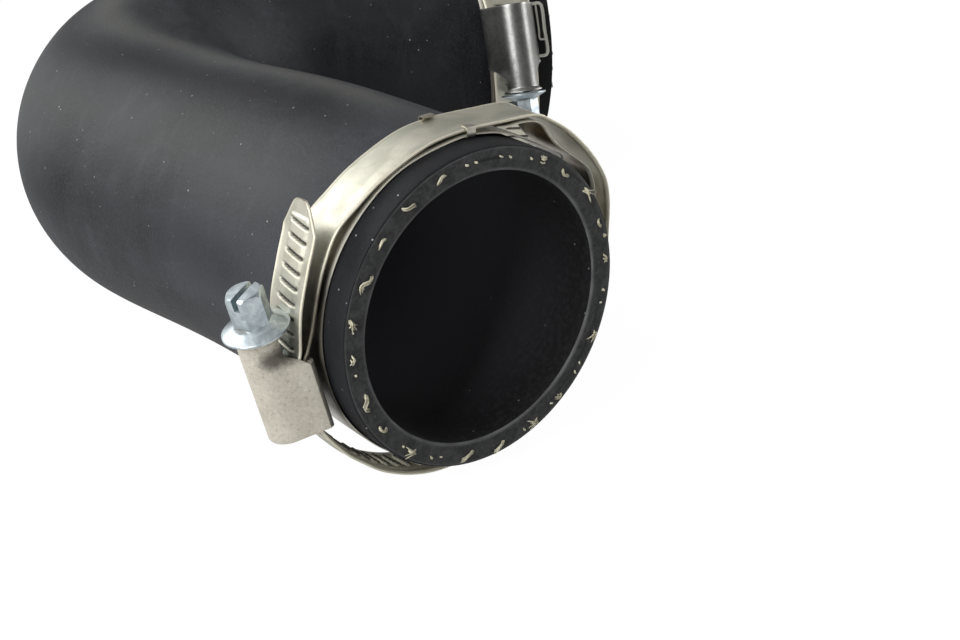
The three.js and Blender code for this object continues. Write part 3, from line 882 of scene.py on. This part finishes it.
def run_tree(piece, tree, **inputs):
    """Run a node group on a piece with these inputs and keep what it makes."""
    modifier = piece.modifiers.new(tree.name, "NODES")
    modifier.node_group = tree
    for item in tree.interface.items_tree:
        key = item.name.replace(" ", "_").lower()
        if item.in_out == "INPUT" and key in inputs:
            modifier[item.identifier] = inputs[key]
    return settle(piece)


def tapered(distances, length, half, tip):
    """Half widths of a strip that ends in a rounded tapered tip."""
    left = np.clip((length - distances) / TIP_TAPER, 0, 1)
    shape = tip / 2 + (half - tip / 2) * left
    near = np.clip((length - distances) / TIP_ROUND, 0, 1)
    return shape * (0.62 + 0.38 * np.sqrt(1 - (1 - near) ** 2))


def tip_rows(length, count):
    """Distances that crowd towards the end of a strip, round its tip."""
    return length - TIP_ROUND * np.linspace(1, 0, count) ** 1.6


def build_bands(settings):
    steel = band_steel(settings)
    tree = pressed_thread_tree()
    for end in ENDS:
        clamp = Clamp(end)
        line = clamp.band_line()
        length = path_length(line)
        thread = THREAD_SHARE * length
        rows = np.concatenate([
            np.arange(0, length - thread, BAND_STEP),
            np.arange(length - thread, length - TIP_ROUND, THREAD_STEP),
            tip_rows(length, BAND_TIP_ROWS),
        ])
        halves = tapered(rows, length, clamp.width / 2, TAIL_TIP)
        kind = clamp.kind
        shell = strip(
            clamp, line, rows, halves, DRAWN_BAND, BAND_COLUMNS, -kind["sink"], kind["roll"]
        )
        shell.marks["flow"][:, 0] = length - shell.marks["flow"][:, 0]
        piece = make_object(f"{end}_clamp_band", shell, [steel], 40.0)
        run_tree(
            piece, tree, pitch=settings.thread_pitch / MM, slant=THREAD_SLANT,
            half_width=clamp.width * THREAD_HALF_WIDTH, first=THREAD_FIRST, last=thread - 1.0,
            pad_height=kind["pad_height"], slit_depth=SLIT_DEPTH, slit_width=SLIT_WIDTH,
            material=steel,
        )
        keep(piece, "hose_and_clamps", "band_steel", f"{end}_band")


def folded_tab(clamp, angle, sweep, edge_z, reach, inner_r, outer_r, direction):
    """A small tab that rises past the band's edge and folds over it."""
    line = smooth_path([
        (inner_r, 0.25), (inner_r + 0.15, 0.6), (outer_r - 0.5, 0.62), (outer_r - 0.1, 0.4),
        (outer_r, 0.0), (outer_r - 0.05, -reach),
    ], 6)
    spots, tangent = along_path(line, np.linspace(0, path_length(line), len(line)))
    normal = np.stack([-tangent[:, 1], tangent[:, 0]], -1)
    r, z = np.vstack([spots + normal * TAB_HALF, (spots - normal * TAB_HALF)[::-1]]).T
    turns = np.radians(np.linspace(angle - sweep / 2, angle + sweep / 2, TAB_ROWS))
    rows = [np.stack([r * math.cos(t), r * math.sin(t), edge_z + direction * z], -1) for t in turns]
    faces = grid_faces(TAB_ROWS, len(r)) + end_caps(TAB_ROWS, len(r), True)
    return Shell(np.vstack(rows), faces).outward().moved(clamp.place)


def build_liners(settings):
    steel = liner_steel(settings)
    for end in ENDS:
        clamp = Clamp(end)
        line = clamp.liner_line()
        length = path_length(line)
        body = np.arange(0, length - TIP_ROUND, LINER_STEP)
        rows = np.concatenate([body, tip_rows(length, LINER_TIP_ROWS)])
        half, over = clamp.width / 2, clamp.band_r + 0.75
        halves = tapered(rows, length, half, TONGUE_TIP)
        shells = [
            strip(clamp, line, rows, halves, DRAWN_LINER, LINER_COLUMNS, DRAWN_LINER / 2),
            folded_tab(clamp, 88.5, 3.4, half, 0.8, 30.0, over, 1),
            folded_tab(clamp, 92.0, 4.2, -half, 1.0, 30.0, over, -1),
        ]
        piece = make_object(f"{end}_clamp_liner", joined(shells), [steel], 40.0)
        keep(piece, "hose_and_clamps", "liner_steel", f"{end}_liner")


# ---------------------------------------------------------------- housings


def rounded_outline(points, radii, steps=5):
    """A closed outline with its corners rounded."""
    out = []
    n = len(points)
    for i in range(n):
        before, at, after = (np.asarray(points[(i + k) % n], float) for k in (-1, 0, 1))
        a, b = unit(before - at), unit(after - at)
        if radii[i] <= 0:
            out.append(at)
            continue
        reach = min(radii[i], *(0.45 * np.linalg.norm(end - at) for end in (before, after)))
        for t in np.linspace(0, 1, steps):
            leave, arrive = (1 - t) ** 2 * (at + a * reach), t**2 * (at + b * reach)
            out.append(leave + 2 * t * (1 - t) * at + arrive)
    return np.array(out)


def housing_shell(clamp):
    """The middle sheet of a housing: a skirt whose crown runs on as an open barrel."""
    mid = HOUSING_SHEET / 2
    edge = clamp.width / 2 + GAP + mid
    floor = clamp.fixed_r - BAND_SHEET - GAP - mid - clamp.axis_r
    shoulder = clamp.threaded_r + GAP - clamp.axis_r - FACE_DROP
    radius = BARREL_R - mid
    lean = math.atan2(edge, shoulder)
    touch = lean - math.acos(radius / math.hypot(shoulder, edge))
    corners = [(shoulder, edge), (floor, edge), (floor, -edge), (shoulder, -edge)]
    low = rounded_outline(corners, [0, 1.0, 1.0, 0])
    touch_point = np.array([radius * math.cos(touch), radius * math.sin(touch)])
    rise, fall = (
        [foot + (top - foot) * k / SLANT for k in range(SLANT)]
        for foot, top in ((low[0], touch_point), (low[-1], touch_point * (1, -1)))
    )
    crown = np.linspace(touch, -touch, CROWN)
    arc = np.stack([radius * np.cos(crown), radius * np.sin(crown)], -1)
    upper = np.vstack([rise, arc, fall[::-1]])
    lower = low[1:-1]
    opening = math.acos(-1.5 / BARREL_R)
    barrel_angles = np.concatenate([
        np.linspace(opening, touch, SLANT, endpoint=False), crown,
        np.linspace(-opening, -touch, SLANT, endpoint=False)[::-1],
    ])
    lip_start = BARREL_END - 1.4
    steps = np.concatenate([
        np.linspace(clamp.start, SKIRT_END, SKIRT_ROWS),
        np.linspace(SKIRT_END, lip_start, 16)[1:], np.linspace(lip_start, BARREL_END, 8)[1:],
    ])
    # The notch's edge climbs from the skirt's foot to the barrel
    ramp = smoothstep(0, 1, np.linspace(0, 1, SLANT))
    climb = np.concatenate([ramp, np.ones(CROWN), ramp[::-1], np.zeros(len(lower))])
    points = []
    for t in steps:
        blend = smoothstep(SKIRT_END, SKIRT_END + 2.6, t)
        lip = smoothstep(BARREL_END - 1.3, BARREL_END - 0.05, t) ** 1.5 * (LIP_R - BARREL_R)
        ring = (radius + lip) * np.stack([np.cos(barrel_angles), np.sin(barrel_angles)], -1)
        row = np.vstack([upper * (1 - blend) + ring * blend, lower])
        notch = smoothstep(0, SKIRT_END, t) * smoothstep(BARREL_END - 1.5, SKIRT_END, t)
        points.append(np.concatenate([row, (t + NOTCH_RISE * climb * notch)[:, None]], 1))
    columns = len(upper) + len(lower)
    faces = []
    for r in range(len(steps) - 1):
        here, there = r * columns, (r + 1) * columns
        for c in range(columns if r < SKIRT_ROWS - 1 else len(upper) - 1):
            n = (c + 1) % columns
            faces.append((here + c, here + n, there + n, there + c))
    uses = sorted({i for f in faces for i in f})
    index = {old: new for new, old in enumerate(uses)}
    faces = [tuple(index[i] for i in f) for f in faces]
    return np.vstack(points)[uses], faces, edge + mid, floor - mid


def bar_loop(points, width, thick):
    """A flat bar bent along a line, its width square to the hose's skin."""
    line = smooth_path(points, 8)
    spots, tangent = along_path(line, np.linspace(0, path_length(line), BAR_ROWS))
    normal = np.array([1.0, 0.0, 0.0])
    side = np.cross(tangent, normal)
    corners = [(-1, -1), (1, -1), (1, 1), (-1, 1)]
    points = [spots + side * (sx * thick / 2) + normal * (sy * width / 2) for sx, sy in corners]
    points = np.stack(points, 1).reshape(-1, 3)
    last = 4 * (BAR_ROWS - 1)
    faces = grid_faces(BAR_ROWS, 4) + [(3, 2, 1, 0), tuple(range(last, last + 4))]
    return Shell(points, faces).outward()


def wing_loop(clamp, end, edge, floor):
    """The bent loop on a housing's side; the rear one has a spine across it."""
    y0, y1 = -edge + 0.25, -edge - clamp.kind["loop_reach"]
    t0, t1 = clamp.start + 0.5, SKIRT_END - 1.4
    loop = bar_loop([
        (floor + 0.5, y0, t0), (floor + 0.5, y1 + 0.5, t0), (floor + 0.55, y1, t0 + 0.7),
        (floor + 0.6, y1, (t0 + t1) / 2), (floor + 0.55, y1, t1 - 0.7),
        (floor + 0.5, y1 + 0.5, t1), (floor + 0.5, y0, t1),
    ], 1.1, clamp.kind["loop_sheet"])
    if end == "rear":
        middle = (y0 + y1) / 2 + 0.1
        run = np.linspace(t0 + 0.3, t0 + 0.68 * (t1 - t0), 5)
        spine = [(floor + 0.55, middle, t) for t in run]
        spine += [(floor + 0.55, y1, t0 + 0.7 * (t1 - t0))]
        loop = joined([loop, bar_loop(spine, 0.8, 0.5)])
    loop.marks["pale"] = np.ones(len(loop.points))
    return loop.moved(clamp.from_screw)


def face_away(mesh, clamp):
    """Turn the faces of the open sheet away from the screw's axis."""
    centre, ahead = world(clamp.from_screw([[0.0, 0, 0], [0.0, 0, 1]]))
    axis = unit(ahead - centre)
    sample = mesh.polygons[len(mesh.polygons) // 3]
    away = np.array(sample.center) - centre
    away = away - axis * np.dot(away, axis)
    if np.dot(away, np.array(sample.normal)) < 0:
        mesh.flip_normals()


def build_housings(settings):
    for end in ENDS:
        steel = housing_steel(settings, end)
        clamp = Clamp(end)
        flat, faces, edge, floor = housing_shell(clamp)
        out, across, along = flat.T
        # Painted shade at a corner by the notch and along the foot by the hose
        corner = np.hypot((along - SKIRT_END - NOTCH_RISE - 0.9) / 2.0, (across - 4.1) / 1.4)
        soot = np.exp(-(corner**2)) * (across > 0) * clamp.kind["soot"]
        soot = np.maximum(soot, smoothstep(-4.6, -5.2, out) * 0.8)
        shell = Shell(clamp.from_screw(flat), faces, soot=soot)
        piece = make_object(f"{end}_clamp_housing", shell, [steel], 180.0)
        face_away(piece.data, clamp)
        wall = piece.modifiers.new("wall", "SOLIDIFY")
        wall.thickness, wall.offset, wall.use_even_offset = HOUSING_SHEET * MM, 0.0, True
        soft = piece.modifiers.new("soft", "BEVEL")
        soft.width, soft.segments = 0.16 * MM, 2
        soft.limit_method, soft.angle_limit = "ANGLE", math.radians(50)
        settle(piece)
        extra = make_object(f"{end}_wing", wing_loop(clamp, end, edge, floor), [steel], 40.0)
        soft = extra.modifiers.new("soft", "BEVEL")
        soft.width, soft.segments = 0.12 * MM, 2
        settle(extra)
        bpy.ops.object.select_all(action="DESELECT")
        for o in (piece, extra):
            o.select_set(True)
        bpy.context.view_layer.objects.active = piece
        bpy.ops.object.join()
        smooth_but_sharp(piece.data, 38)
        keep(piece, "hose_and_clamps", "housing_steel", f"{end}_housing")


# ---------------------------------------------------------------- screws


def screw_shell(clamp):
    """The screw as one turned skin: worm, neck, coned flange and chamfered hexagon."""
    columns = SCREW_COLUMNS
    phi = np.arange(columns) / columns * 2 * math.pi + math.radians(HEX_CORNER)
    sector = (np.degrees(phi) - HEX_CORNER) % 60 - 30
    hexagon = HEX_FLATS / 2 / np.cos(np.radians(sector))
    low = clamp.start + WORM_INSET
    rows = []
    for t in np.linspace(low, WORM_END, int((WORM_END - low) / WORM_STEP)):
        ends = smoothstep(low, low + 0.5, t) * smoothstep(WORM_END, WORM_END - 0.5, t)
        rise = smoothstep(-0.6, 0.6, np.cos(2 * math.pi * (t / WORM_PITCH) - phi)) * ends
        rows.append((t, WORM_ROOT_R + (WORM_R - WORM_ROOT_R) * rise))
    rows += [
        (WORM_END + 0.1, NECK_R), (13.0, NECK_R), (FLANGE_START - 0.1, NECK_R),
        (FLANGE_START, NECK_R + 0.1), (FLANGE_START, FLANGE_R - 0.15),
        (FLANGE_START + 0.12, FLANGE_R), (FLANGE_START + 0.42, FLANGE_R),
    ]
    foot = FLANGE_START + 0.5
    for w in np.arange(13) / 12:
        cone = FLANGE_R - 0.08 + (HEX_FLATS / 2 - 0.1 - FLANGE_R) * w
        rows.append((foot + (HEX_START - foot) * w, np.maximum(cone, hexagon)))
    chamfer = HEX_END - HEX_CHAMFER
    rows += [(t, hexagon) for t in np.linspace(HEX_START + 0.2, chamfer, 14)]
    for w in np.arange(1, 9) / 8:
        worn = np.minimum(hexagon, HEX_FLATS / 2 * 1.155 - 0.62 * w**1.6)
        rows.append((chamfer + HEX_CHAMFER * w, worn))
    rows.append((HEX_END + 0.06, 1.6))
    points = [np.stack([r * np.cos(phi), r * np.sin(phi), t + 0 * phi], -1) for t, r in rows]
    n = len(points)
    points = np.vstack(points + [np.array([[0, 0, low], [0, 0, HEX_END + 0.08]])])
    faces = grid_faces(n, columns)
    hub = n * columns
    for c in range(columns):
        d = (c + 1) % columns
        faces.append((hub, d, c))
        faces.append((hub + 1, (n - 1) * columns + c, (n - 1) * columns + d))
    t, r = points[:, 2], np.hypot(points[:, 0], points[:, 1])
    round_way = 0.5 + 0.5 * np.sin(2 * np.arctan2(points[:, 1], points[:, 0]) + 1.0)
    rust = smoothstep(0.6, 0.1, abs(t - HEX_START + 0.2)) * (0.35 + 0.65 * round_way**2) * 0.9
    # The slot's floor is given the same dark colour as painted shade
    in_slot = smoothstep(HEX_END - 1.2, HEX_END - SLOT_DEPTH, t) * smoothstep(1.6, 0.6, r)
    rust = np.maximum(rust, in_slot)
    return Shell(points, faces, rust=rust).outward()


def build_screws(settings):
    zinc = screw_zinc(settings)
    for end in ENDS:
        clamp = Clamp(end)
        shell = screw_shell(clamp).moved(clamp.from_screw).outward()
        piece = make_object(f"{end}_clamp_screw", shell, [zinc], 30.0)
        along, over = polar(SLOT_TURN, 1.0), polar(SLOT_TURN + 90, 1.0)
        corners = []
        for t in (HEX_END - SLOT_DEPTH, HEX_END + 1):
            for u, v in ((-1, -1), (1, -1), (1, 1), (-1, 1)):
                corners.append([*(along * u * HEX_FLATS + over * v * SLOT_WIDTH / 2), t])
        faces = [(0, 3, 2, 1), (4, 5, 6, 7)] + grid_faces(2, 4)
        # Painted shade: the slot's walls take the same dark colour
        cut = Shell(clamp.from_screw(corners), faces, rust=np.ones(8) * 0.9).outward()
        blade = make_object(f"{end}_slot_cutter", cut, [zinc], 30.0)
        slot = piece.modifiers.new("slot", "BOOLEAN")
        slot.operation, slot.object, slot.solver = "DIFFERENCE", blade, "EXACT"
        settle(piece)
        bpy.data.objects.remove(blade)
        smooth_but_sharp(piece.data, 30)
        keep(piece, f"{end}_screw", "screw_zinc", f"{end}_screw")


# ---------------------------------------------------------------- yarn ends


FIBRE_TAPER = (1, 1, 1, 0.97, 0.92, 0.85, 0.7, 0.4)
FIBRE_SIDES = 5


def fibre(points, radius):
    rings = len(FIBRE_TAPER)
    line = smooth_path(points, 3)
    spots, tangent = along_path(line, np.linspace(0, path_length(line), rings))
    side = np.cross(tangent, (0.31, 0.77, 0.55))
    side /= np.linalg.norm(side, axis=1)[:, None]
    spokes = polar(np.arange(FIBRE_SIDES) / FIBRE_SIDES * 360, 1.0)
    spokes = np.einsum("si,ipk->psk", spokes, [side, np.cross(tangent, side)])
    rows = spots[:, None, :] + radius * np.array(FIBRE_TAPER)[:, None, None] * spokes
    last = FIBRE_SIDES * (rings - 1)
    faces = grid_faces(rings, FIBRE_SIDES)
    faces += [tuple(range(FIBRE_SIDES))[::-1], tuple(range(last, last + FIBRE_SIDES))]
    return Shell(rows.reshape(-1, 3), faces).outward()


# Middle lines of the yarn ends, lying on the face, in millimetres: along, aside
TUFT_LINES = {
    DOT: [(-0.12, 0.0), (0.0, 0.02), (0.12, 0.0)],
    BLOB: [(-0.5, -0.1), (-0.15, 0.05), (0.2, 0.1), (0.55, -0.05)],
    CURL: [(-0.85, -0.32), (-0.5, 0.12), (0.0, 0.3), (0.5, 0.12), (0.85, -0.3)],
    FRAYED: [(-0.7, 0.0), (-0.2, 0.08), (0.3, 0.0), (0.75, 0.1)],
    LONG: [(-1.25, 0.12), (-0.6, -0.05), (0.1, 0.0), (0.7, 0.14), (1.2, 0.02)],
    TUFT: [
        (-1.4, 0.5), (-0.9, 0.62), (-0.35, 0.3), (0.1, -0.2), (0.6, -0.4), (1.1, -0.1),
        (1.35, 0.35),
    ],
}
TUFT_FIBRES = {DOT: 4, BLOB: 8, CURL: 6, FRAYED: 9, LONG: 7, TUFT: 9}
TUFT_WIDTH = {DOT: 0.09, BLOB: 0.2, CURL: 0.1, FRAYED: 0.16, LONG: 0.13, TUFT: 0.17}
TUFT_VARIANTS = 3
TUFT_STRAY = {DOT: 0.05, BLOB: 0.1, CURL: 0.07, FRAYED: 0.45, LONG: 0.12, TUFT: 0.16}


def tuft_shell(kind, rng):
    """A bunch of cut fibres that leaves the face, lies over and frays, in millimetres."""
    line = np.array(TUFT_LINES[kind])
    parts = []
    for _ in range(TUFT_FIBRES[kind]):
        shift = rng.normal(0, TUFT_WIDTH[kind], 2)
        stray = rng.normal(0, TUFT_STRAY[kind], 2)
        reach = rng.uniform(0.75, 1.08)
        run = np.linspace(0, 1, len(line))
        flat = line * reach + shift + stray * (run[:, None] ** 2)
        height = 0.16 + 0.2 * np.sin(run * math.pi) + rng.uniform(-0.06, 0.12)
        height = height + 0.25 * abs(stray[0]) * run
        # The first end sits in the wall
        height[0] = -0.25
        parts.append(fibre(np.concatenate([flat, height[:, None]], 1), rng.uniform(0.085, 0.14)))
    return joined(parts)


def yarn_tree():
    """Geometry nodes that set a picked tuft on each point of a cut face."""
    b, given = node_group("yarn_ends", [("Tufts", "Collection", None), ("Size", "Float", 1.0)])
    values = {"Collection": given["Tufts"], "Separate Children": True, "Reset Children": True}
    tufts = b.node("GeometryNodeCollectionInfo", None, values)
    values = {
        "Points": given["Geometry"], "Instance": tufts, "Pick Instance": True,
        "Instance Index": b.named("kind", "INT"),
        "Rotation": b.node("FunctionNodeEulerToRotation", None, {0: b.named("spin")}),
        "Scale": b.named("grow", "FLOAT") * given["Size"],
    }
    set_out = b.node("GeometryNodeInstanceOnPoints", None, values)
    return close_group(b, set_out, given["Material"])


def build_yarn(settings):
    rng = np.random.default_rng(11)
    yarn = yarn_fibre(settings)
    shelf = bpy.data.collections.new("tufts")
    bpy.context.scene.collection.children.link(shelf)
    for kind in range(6):
        for variant in range(TUFT_VARIANTS):
            shell = tuft_shell(kind, rng)
            mesh = bpy.data.meshes.new(f"tuft_{kind}_{variant}")
            mesh.from_pydata((shell.points * MM).tolist(), [], shell.faces)
            mesh.shade_smooth()
            shelf.objects.link(bpy.data.objects.new(f"tuft_{kind}_{variant}", mesh))
    tree = yarn_tree()
    kinds = [DOT, DOT, DOT, BLOB, CURL, FRAYED, LONG, DOT, BLOB]
    rear = [
        (a + rng.uniform(-2, 2), YARN_R + rng.uniform(-0.3, 0.4), kinds[rng.integers(len(kinds))])
        for a in range(0, 360, 10)
    ]
    spots, spins, picks, grows = [], [], [], []
    for end, rows in (("front", FRONT_YARN), ("rear", rear)):
        s = 0.0 if end == "front" else HOSE_LENGTH
        centre, heading, side, swell = hose_station(s)
        outward = -heading if end == "front" else heading
        for angle, radius, kind in rows:
            a = math.radians(angle)
            radial = side * math.cos(a) + np.array([0, 0, 1.0]) * math.sin(a)
            round_way = np.cross(outward, radial)
            lean = rng.uniform(-0.5, 0.5) + (rng.integers(2) * math.pi)
            x = round_way * math.cos(lean) + radial * math.sin(lean)
            basis = world_direction(np.stack([x, np.cross(outward, x), outward])).T
            spins.append(tuple(Matrix(basis.tolist()).to_euler("XYZ")))
            spots.append(world(centre + radial * (radius + swell) - outward * 0.02))
            picks.append(kind * TUFT_VARIANTS + int(rng.integers(TUFT_VARIANTS)))
            grows.append(rng.uniform(0.9, 1.15))
    mesh = bpy.data.meshes.new("yarn_ends")
    mesh.from_pydata([tuple(p) for p in spots], [], [])
    for name, kind, field, values in (
        ("spin", "FLOAT_VECTOR", "vector", np.array(spins, np.float32)),
        ("kind", "INT", "value", np.array(picks, np.int32)),
        ("grow", "FLOAT", "value", np.array(grows, np.float32)),
    ):
        mesh.attributes.new(name, kind, "POINT").data.foreach_set(field, values.ravel())
    piece = bpy.data.objects.new("yarn_ends", mesh)
    bpy.context.scene.collection.objects.link(piece)
    run_tree(piece, tree, tufts=shelf, size=settings.yarn_size, material=yarn)
    for o in list(shelf.objects):
        bpy.data.objects.remove(o)
    bpy.data.collections.remove(shelf)
    keep(piece, "hose_and_clamps", "yarn")


# ---------------------------------------------------------------- stage


def photo_frame(vector):
    """A direction or place of the photograph's frame in the hose's frame."""
    c, s = math.cos(PHOTO_TURN), math.sin(PHOTO_TURN)
    x, y, z = vector
    return np.array([c * x + s * y, -s * x + c * y, z])


def build_camera():
    camera = bpy.data.objects.new("camera", bpy.data.cameras.new("camera"))
    camera.data.sensor_width = SENSOR_WIDTH
    camera.data.lens = PHOTO_FOCAL / PHOTO_WIDTH * SENSOR_WIDTH
    camera.data.clip_start = 0.01
    right = world_direction(photo_frame((1, 0, 0)))
    up = world_direction(photo_frame((0, math.sin(PHOTO_TILT), math.cos(PHOTO_TILT))))
    back = np.cross(right, up)
    spot = world(photo_frame(PHOTO_EYE))
    matrix = np.eye(4)
    matrix[:3, 0], matrix[:3, 1], matrix[:3, 2], matrix[:3, 3] = right, up, back, spot
    camera.matrix_world = Matrix(matrix.tolist())
    bpy.context.scene.collection.objects.link(camera)
    bpy.context.scene.camera = camera


def lamp(name, place, target, size, watts):
    data = bpy.data.lights.new(name, "AREA")
    data.shape, data.size, data.size_y = "RECTANGLE", size[0], size[1]
    data.energy = watts
    obj = bpy.data.objects.new(name, data)
    obj.location = place
    obj.rotation_euler = (Vector(target) - Vector(place)).to_track_quat("-Z", "Y").to_euler()
    bpy.context.scene.collection.objects.link(obj)


# The rear liner reaches a little below the solids at its lowest point
FLOOR_Z, FLOOR_HALF = -0.0006, 3.0
WHITE = (1.0, 1.0, 1.0)


def build_floor():
    f = Finish("studio_floor")
    camera, glossy, through = f.ray_kinds()
    seen = (camera + glossy * 0.6 + through).limited()
    plain = f.node("ShaderNodeBsdfDiffuse", None, {"Color": (0.45, 0.45, 0.45)})
    glow = f.node("ShaderNodeEmission", None, {"Color": WHITE, "Strength": 1.18})
    mixed = f.node("ShaderNodeMixShader", None, {0: seen * 0.82, 1: plain, 2: glow})
    f.emit(mixed, "ShaderNodeOutputMaterial")
    mesh = bpy.data.meshes.new("studio_floor")
    around = ((-1, -1), (1, -1), (1, 1), (-1, 1))
    corners = [(x * FLOOR_HALF, y * FLOOR_HALF, FLOOR_Z) for x, y in around]
    mesh.from_pydata(corners, [], [(0, 1, 2, 3)])
    mesh.materials.append(f.material)
    floor = bpy.data.objects.new("studio_floor", mesh)
    bpy.context.scene.collection.objects.link(floor)


def build_world(settings):
    studio = bpy.data.worlds.new("studio")
    bpy.context.scene.world = studio
    studio.use_nodes = True
    studio.node_tree.nodes.clear()
    b = Bench(studio.node_tree)
    camera, glossy, through = b.ray_kinds()
    seen = (camera + through).limited()
    way = b.node("ShaderNodeTexCoord", output=0)
    high = b.node("ShaderNodeSeparateXYZ", None, {0: way}, output=2)

    def towards(direction):
        """How far the view points in a direction of the photograph's frame."""
        values = {0: way, 1: tuple(world_direction(photo_frame(direction)))}
        return b.node("ShaderNodeVectorMath", {"operation": "DOT_PRODUCT"}, values, output=1)

    sky = towards((-0.99, -0.1, 0.1)).step(-0.25, 0.9) * 0.75 + high.step(0.1, 1.0) * 0.2 + 0.14
    sky = sky + towards((0.87, 0.46, 0.12)).step(0.8, 0.96) * 4.5
    strength = seen + (1.0 - seen) * (glossy * sky + (1.0 - glossy) * settings.fill_level)
    light = b.node("ShaderNodeBackground", None, {"Color": WHITE, "Strength": strength})
    b.emit(light, "ShaderNodeOutputWorld")


def build_stage(settings):
    build_floor()
    build_world(settings)
    middle = (0.0, 0.0, 0.03)
    for name, side, size, watts in (
        ("back_left", (-0.6, 0.22, 0.5), (0.6, 0.5), settings.key_watts),
        ("front_left", (-0.45, -0.6, 0.4), (0.45, 0.45), settings.side_watts),
    ):
        lamp(name, tuple(world_direction(photo_frame(side))), middle, size, watts)
    build_camera()
    bpy.context.scene.view_settings.view_transform = "Standard"


# ---------------------------------------------------------------- settings


def colour_setting(name, description, default):
    return bpy.props.FloatVectorProperty(
        name=name, description=description, subtype="COLOR", size=3, min=0, max=1, default=default
    )


def watt_setting(name, description, default):
    return bpy.props.FloatProperty(
        name=name, description=description, unit="POWER", default=default, min=0.0
    )


class IntakeHoseSettings(bpy.types.PropertyGroup):
    skin_colour: colour_setting("Skin", "Colour of the clean rubber skin", (0.009, 0.0095, 0.0115))
    bloom_colour: colour_setting("Bloom", "Colour of the greyed skin", (0.056, 0.061, 0.069))


class IntakeClampSettings(bpy.types.PropertyGroup):
    band_colour: colour_setting("Band", "Colour of the band's sheet steel", (0.68, 0.655, 0.555))
    # Light colour of the liner's painted highlight on its edges
    liner_colour: colour_setting("Liner", "Colour of the thin liner strip", (0.84, 0.81, 0.7))
    # The rear housing's colour is dark as painted reflection of the rubber in front of it
    rear_housing_colour: colour_setting(
        "Rear housing", "Colour of the smoother rear housing", (0.3, 0.3, 0.29)
    )
    housing_colour: colour_setting("Housing", "Colour of the pressed housing", (0.74, 0.7, 0.6))
    screw_colour: colour_setting("Screw", "Colour of the plated screw", (0.4, 0.46, 0.49))
    thread_pitch: bpy.props.FloatProperty(
        name="Thread pitch", description="Distance between two pads of the band's thread",
        unit="LENGTH", default=WORM_PITCH * MM, min=0.001, max=0.005,
    )


class IntakeYarnSettings(bpy.types.PropertyGroup):
    yarn_colour: colour_setting("Yarn", "Colour of the cut yarn ends", (0.78, 0.75, 0.58))
    yarn_size: bpy.props.FloatProperty(
        name="Tuft size", description="Size of the yarn tufts", default=1.12, min=0.2, max=3.0
    )


class IntakeStageSettings(bpy.types.PropertyGroup):
    key_watts: watt_setting("Key light", "Power of the upper left light", 1.9)
    side_watts: watt_setting("Side light", "Power of the front light", 5.0)
    fill_level: bpy.props.FloatProperty(
        name="Fill", description="Level of the even studio light", default=0.3, min=0.0
    )


GROUPS = {
    "intake_hose": IntakeHoseSettings,
    "intake_clamps": IntakeClampSettings,
    "intake_yarn": IntakeYarnSettings,
    "intake_stage": IntakeStageSettings,
}


def build_step(name, label, description, build, group):
    """An operator that runs one build function with its group of settings."""

    def execute(self, context):
        build(getattr(context.scene, group))
        return {"FINISHED"}

    return type(f"INTAKE_OT_{name}", (bpy.types.Operator,), {
        "bl_idname": f"intake.{name}", "bl_label": label, "bl_description": description,
        "bl_options": {"REGISTER", "UNDO"}, "execute": execute,
    })


OPERATORS = tuple(build_step(*row) for row in (
    ("hose", "Rubber Hose", "Build the moulded rubber hose", build_hose, "intake_hose"),
    ("bands", "Clamp Bands", "Build the two clamp bands with their pressed thread",
     build_bands, "intake_clamps"),
    ("liners", "Clamp Liners", "Build the thin strips between bands and hose",
     build_liners, "intake_clamps"),
    ("housings", "Screw Housings", "Build the pressed housings of the screws",
     build_housings, "intake_clamps"),
    ("screws", "Worm Screws", "Build the worm screws with their slotted hexagon heads",
     build_screws, "intake_clamps"),
    ("yarn", "Yarn Ends", "Build the cut yarn ends on both faces of the hose",
     build_yarn, "intake_yarn"),
    ("stage", "Stage", "Build the floor, the studio light and the camera",
     build_stage, "intake_stage"),
))


class INTAKE_PT_panel(bpy.types.Panel):
    """Sizes, colours and build steps of the intake hose"""

    bl_idname = "INTAKE_PT_panel"
    bl_label = "Intake Hose"
    bl_space_type = "VIEW_3D"
    bl_region_type = "UI"
    bl_category = "Intake Hose"

    def draw(self, context):
        for key, group in GROUPS.items():
            box = self.layout.box()
            for name in group.__annotations__:
                box.prop(getattr(context.scene, key), name)
        for operator in OPERATORS:
            self.layout.operator(operator.bl_idname)


def register():
    for cls in (*GROUPS.values(), *OPERATORS, INTAKE_PT_panel):
        bpy.utils.register_class(cls)
    for key, group in GROUPS.items():
        setattr(bpy.types.Scene, key, bpy.props.PointerProperty(type=group))


def unregister():
    for key in GROUPS:
        delattr(bpy.types.Scene, key)
    for cls in reversed((*GROUPS.values(), *OPERATORS, INTAKE_PT_panel)):
        bpy.utils.unregister_class(cls)


def main():
    register()
    for operator in OPERATORS:
        group, name = operator.bl_idname.split(".")
        getattr(getattr(bpy.ops, group), name)()


if __name__ == "__main__":
    main()
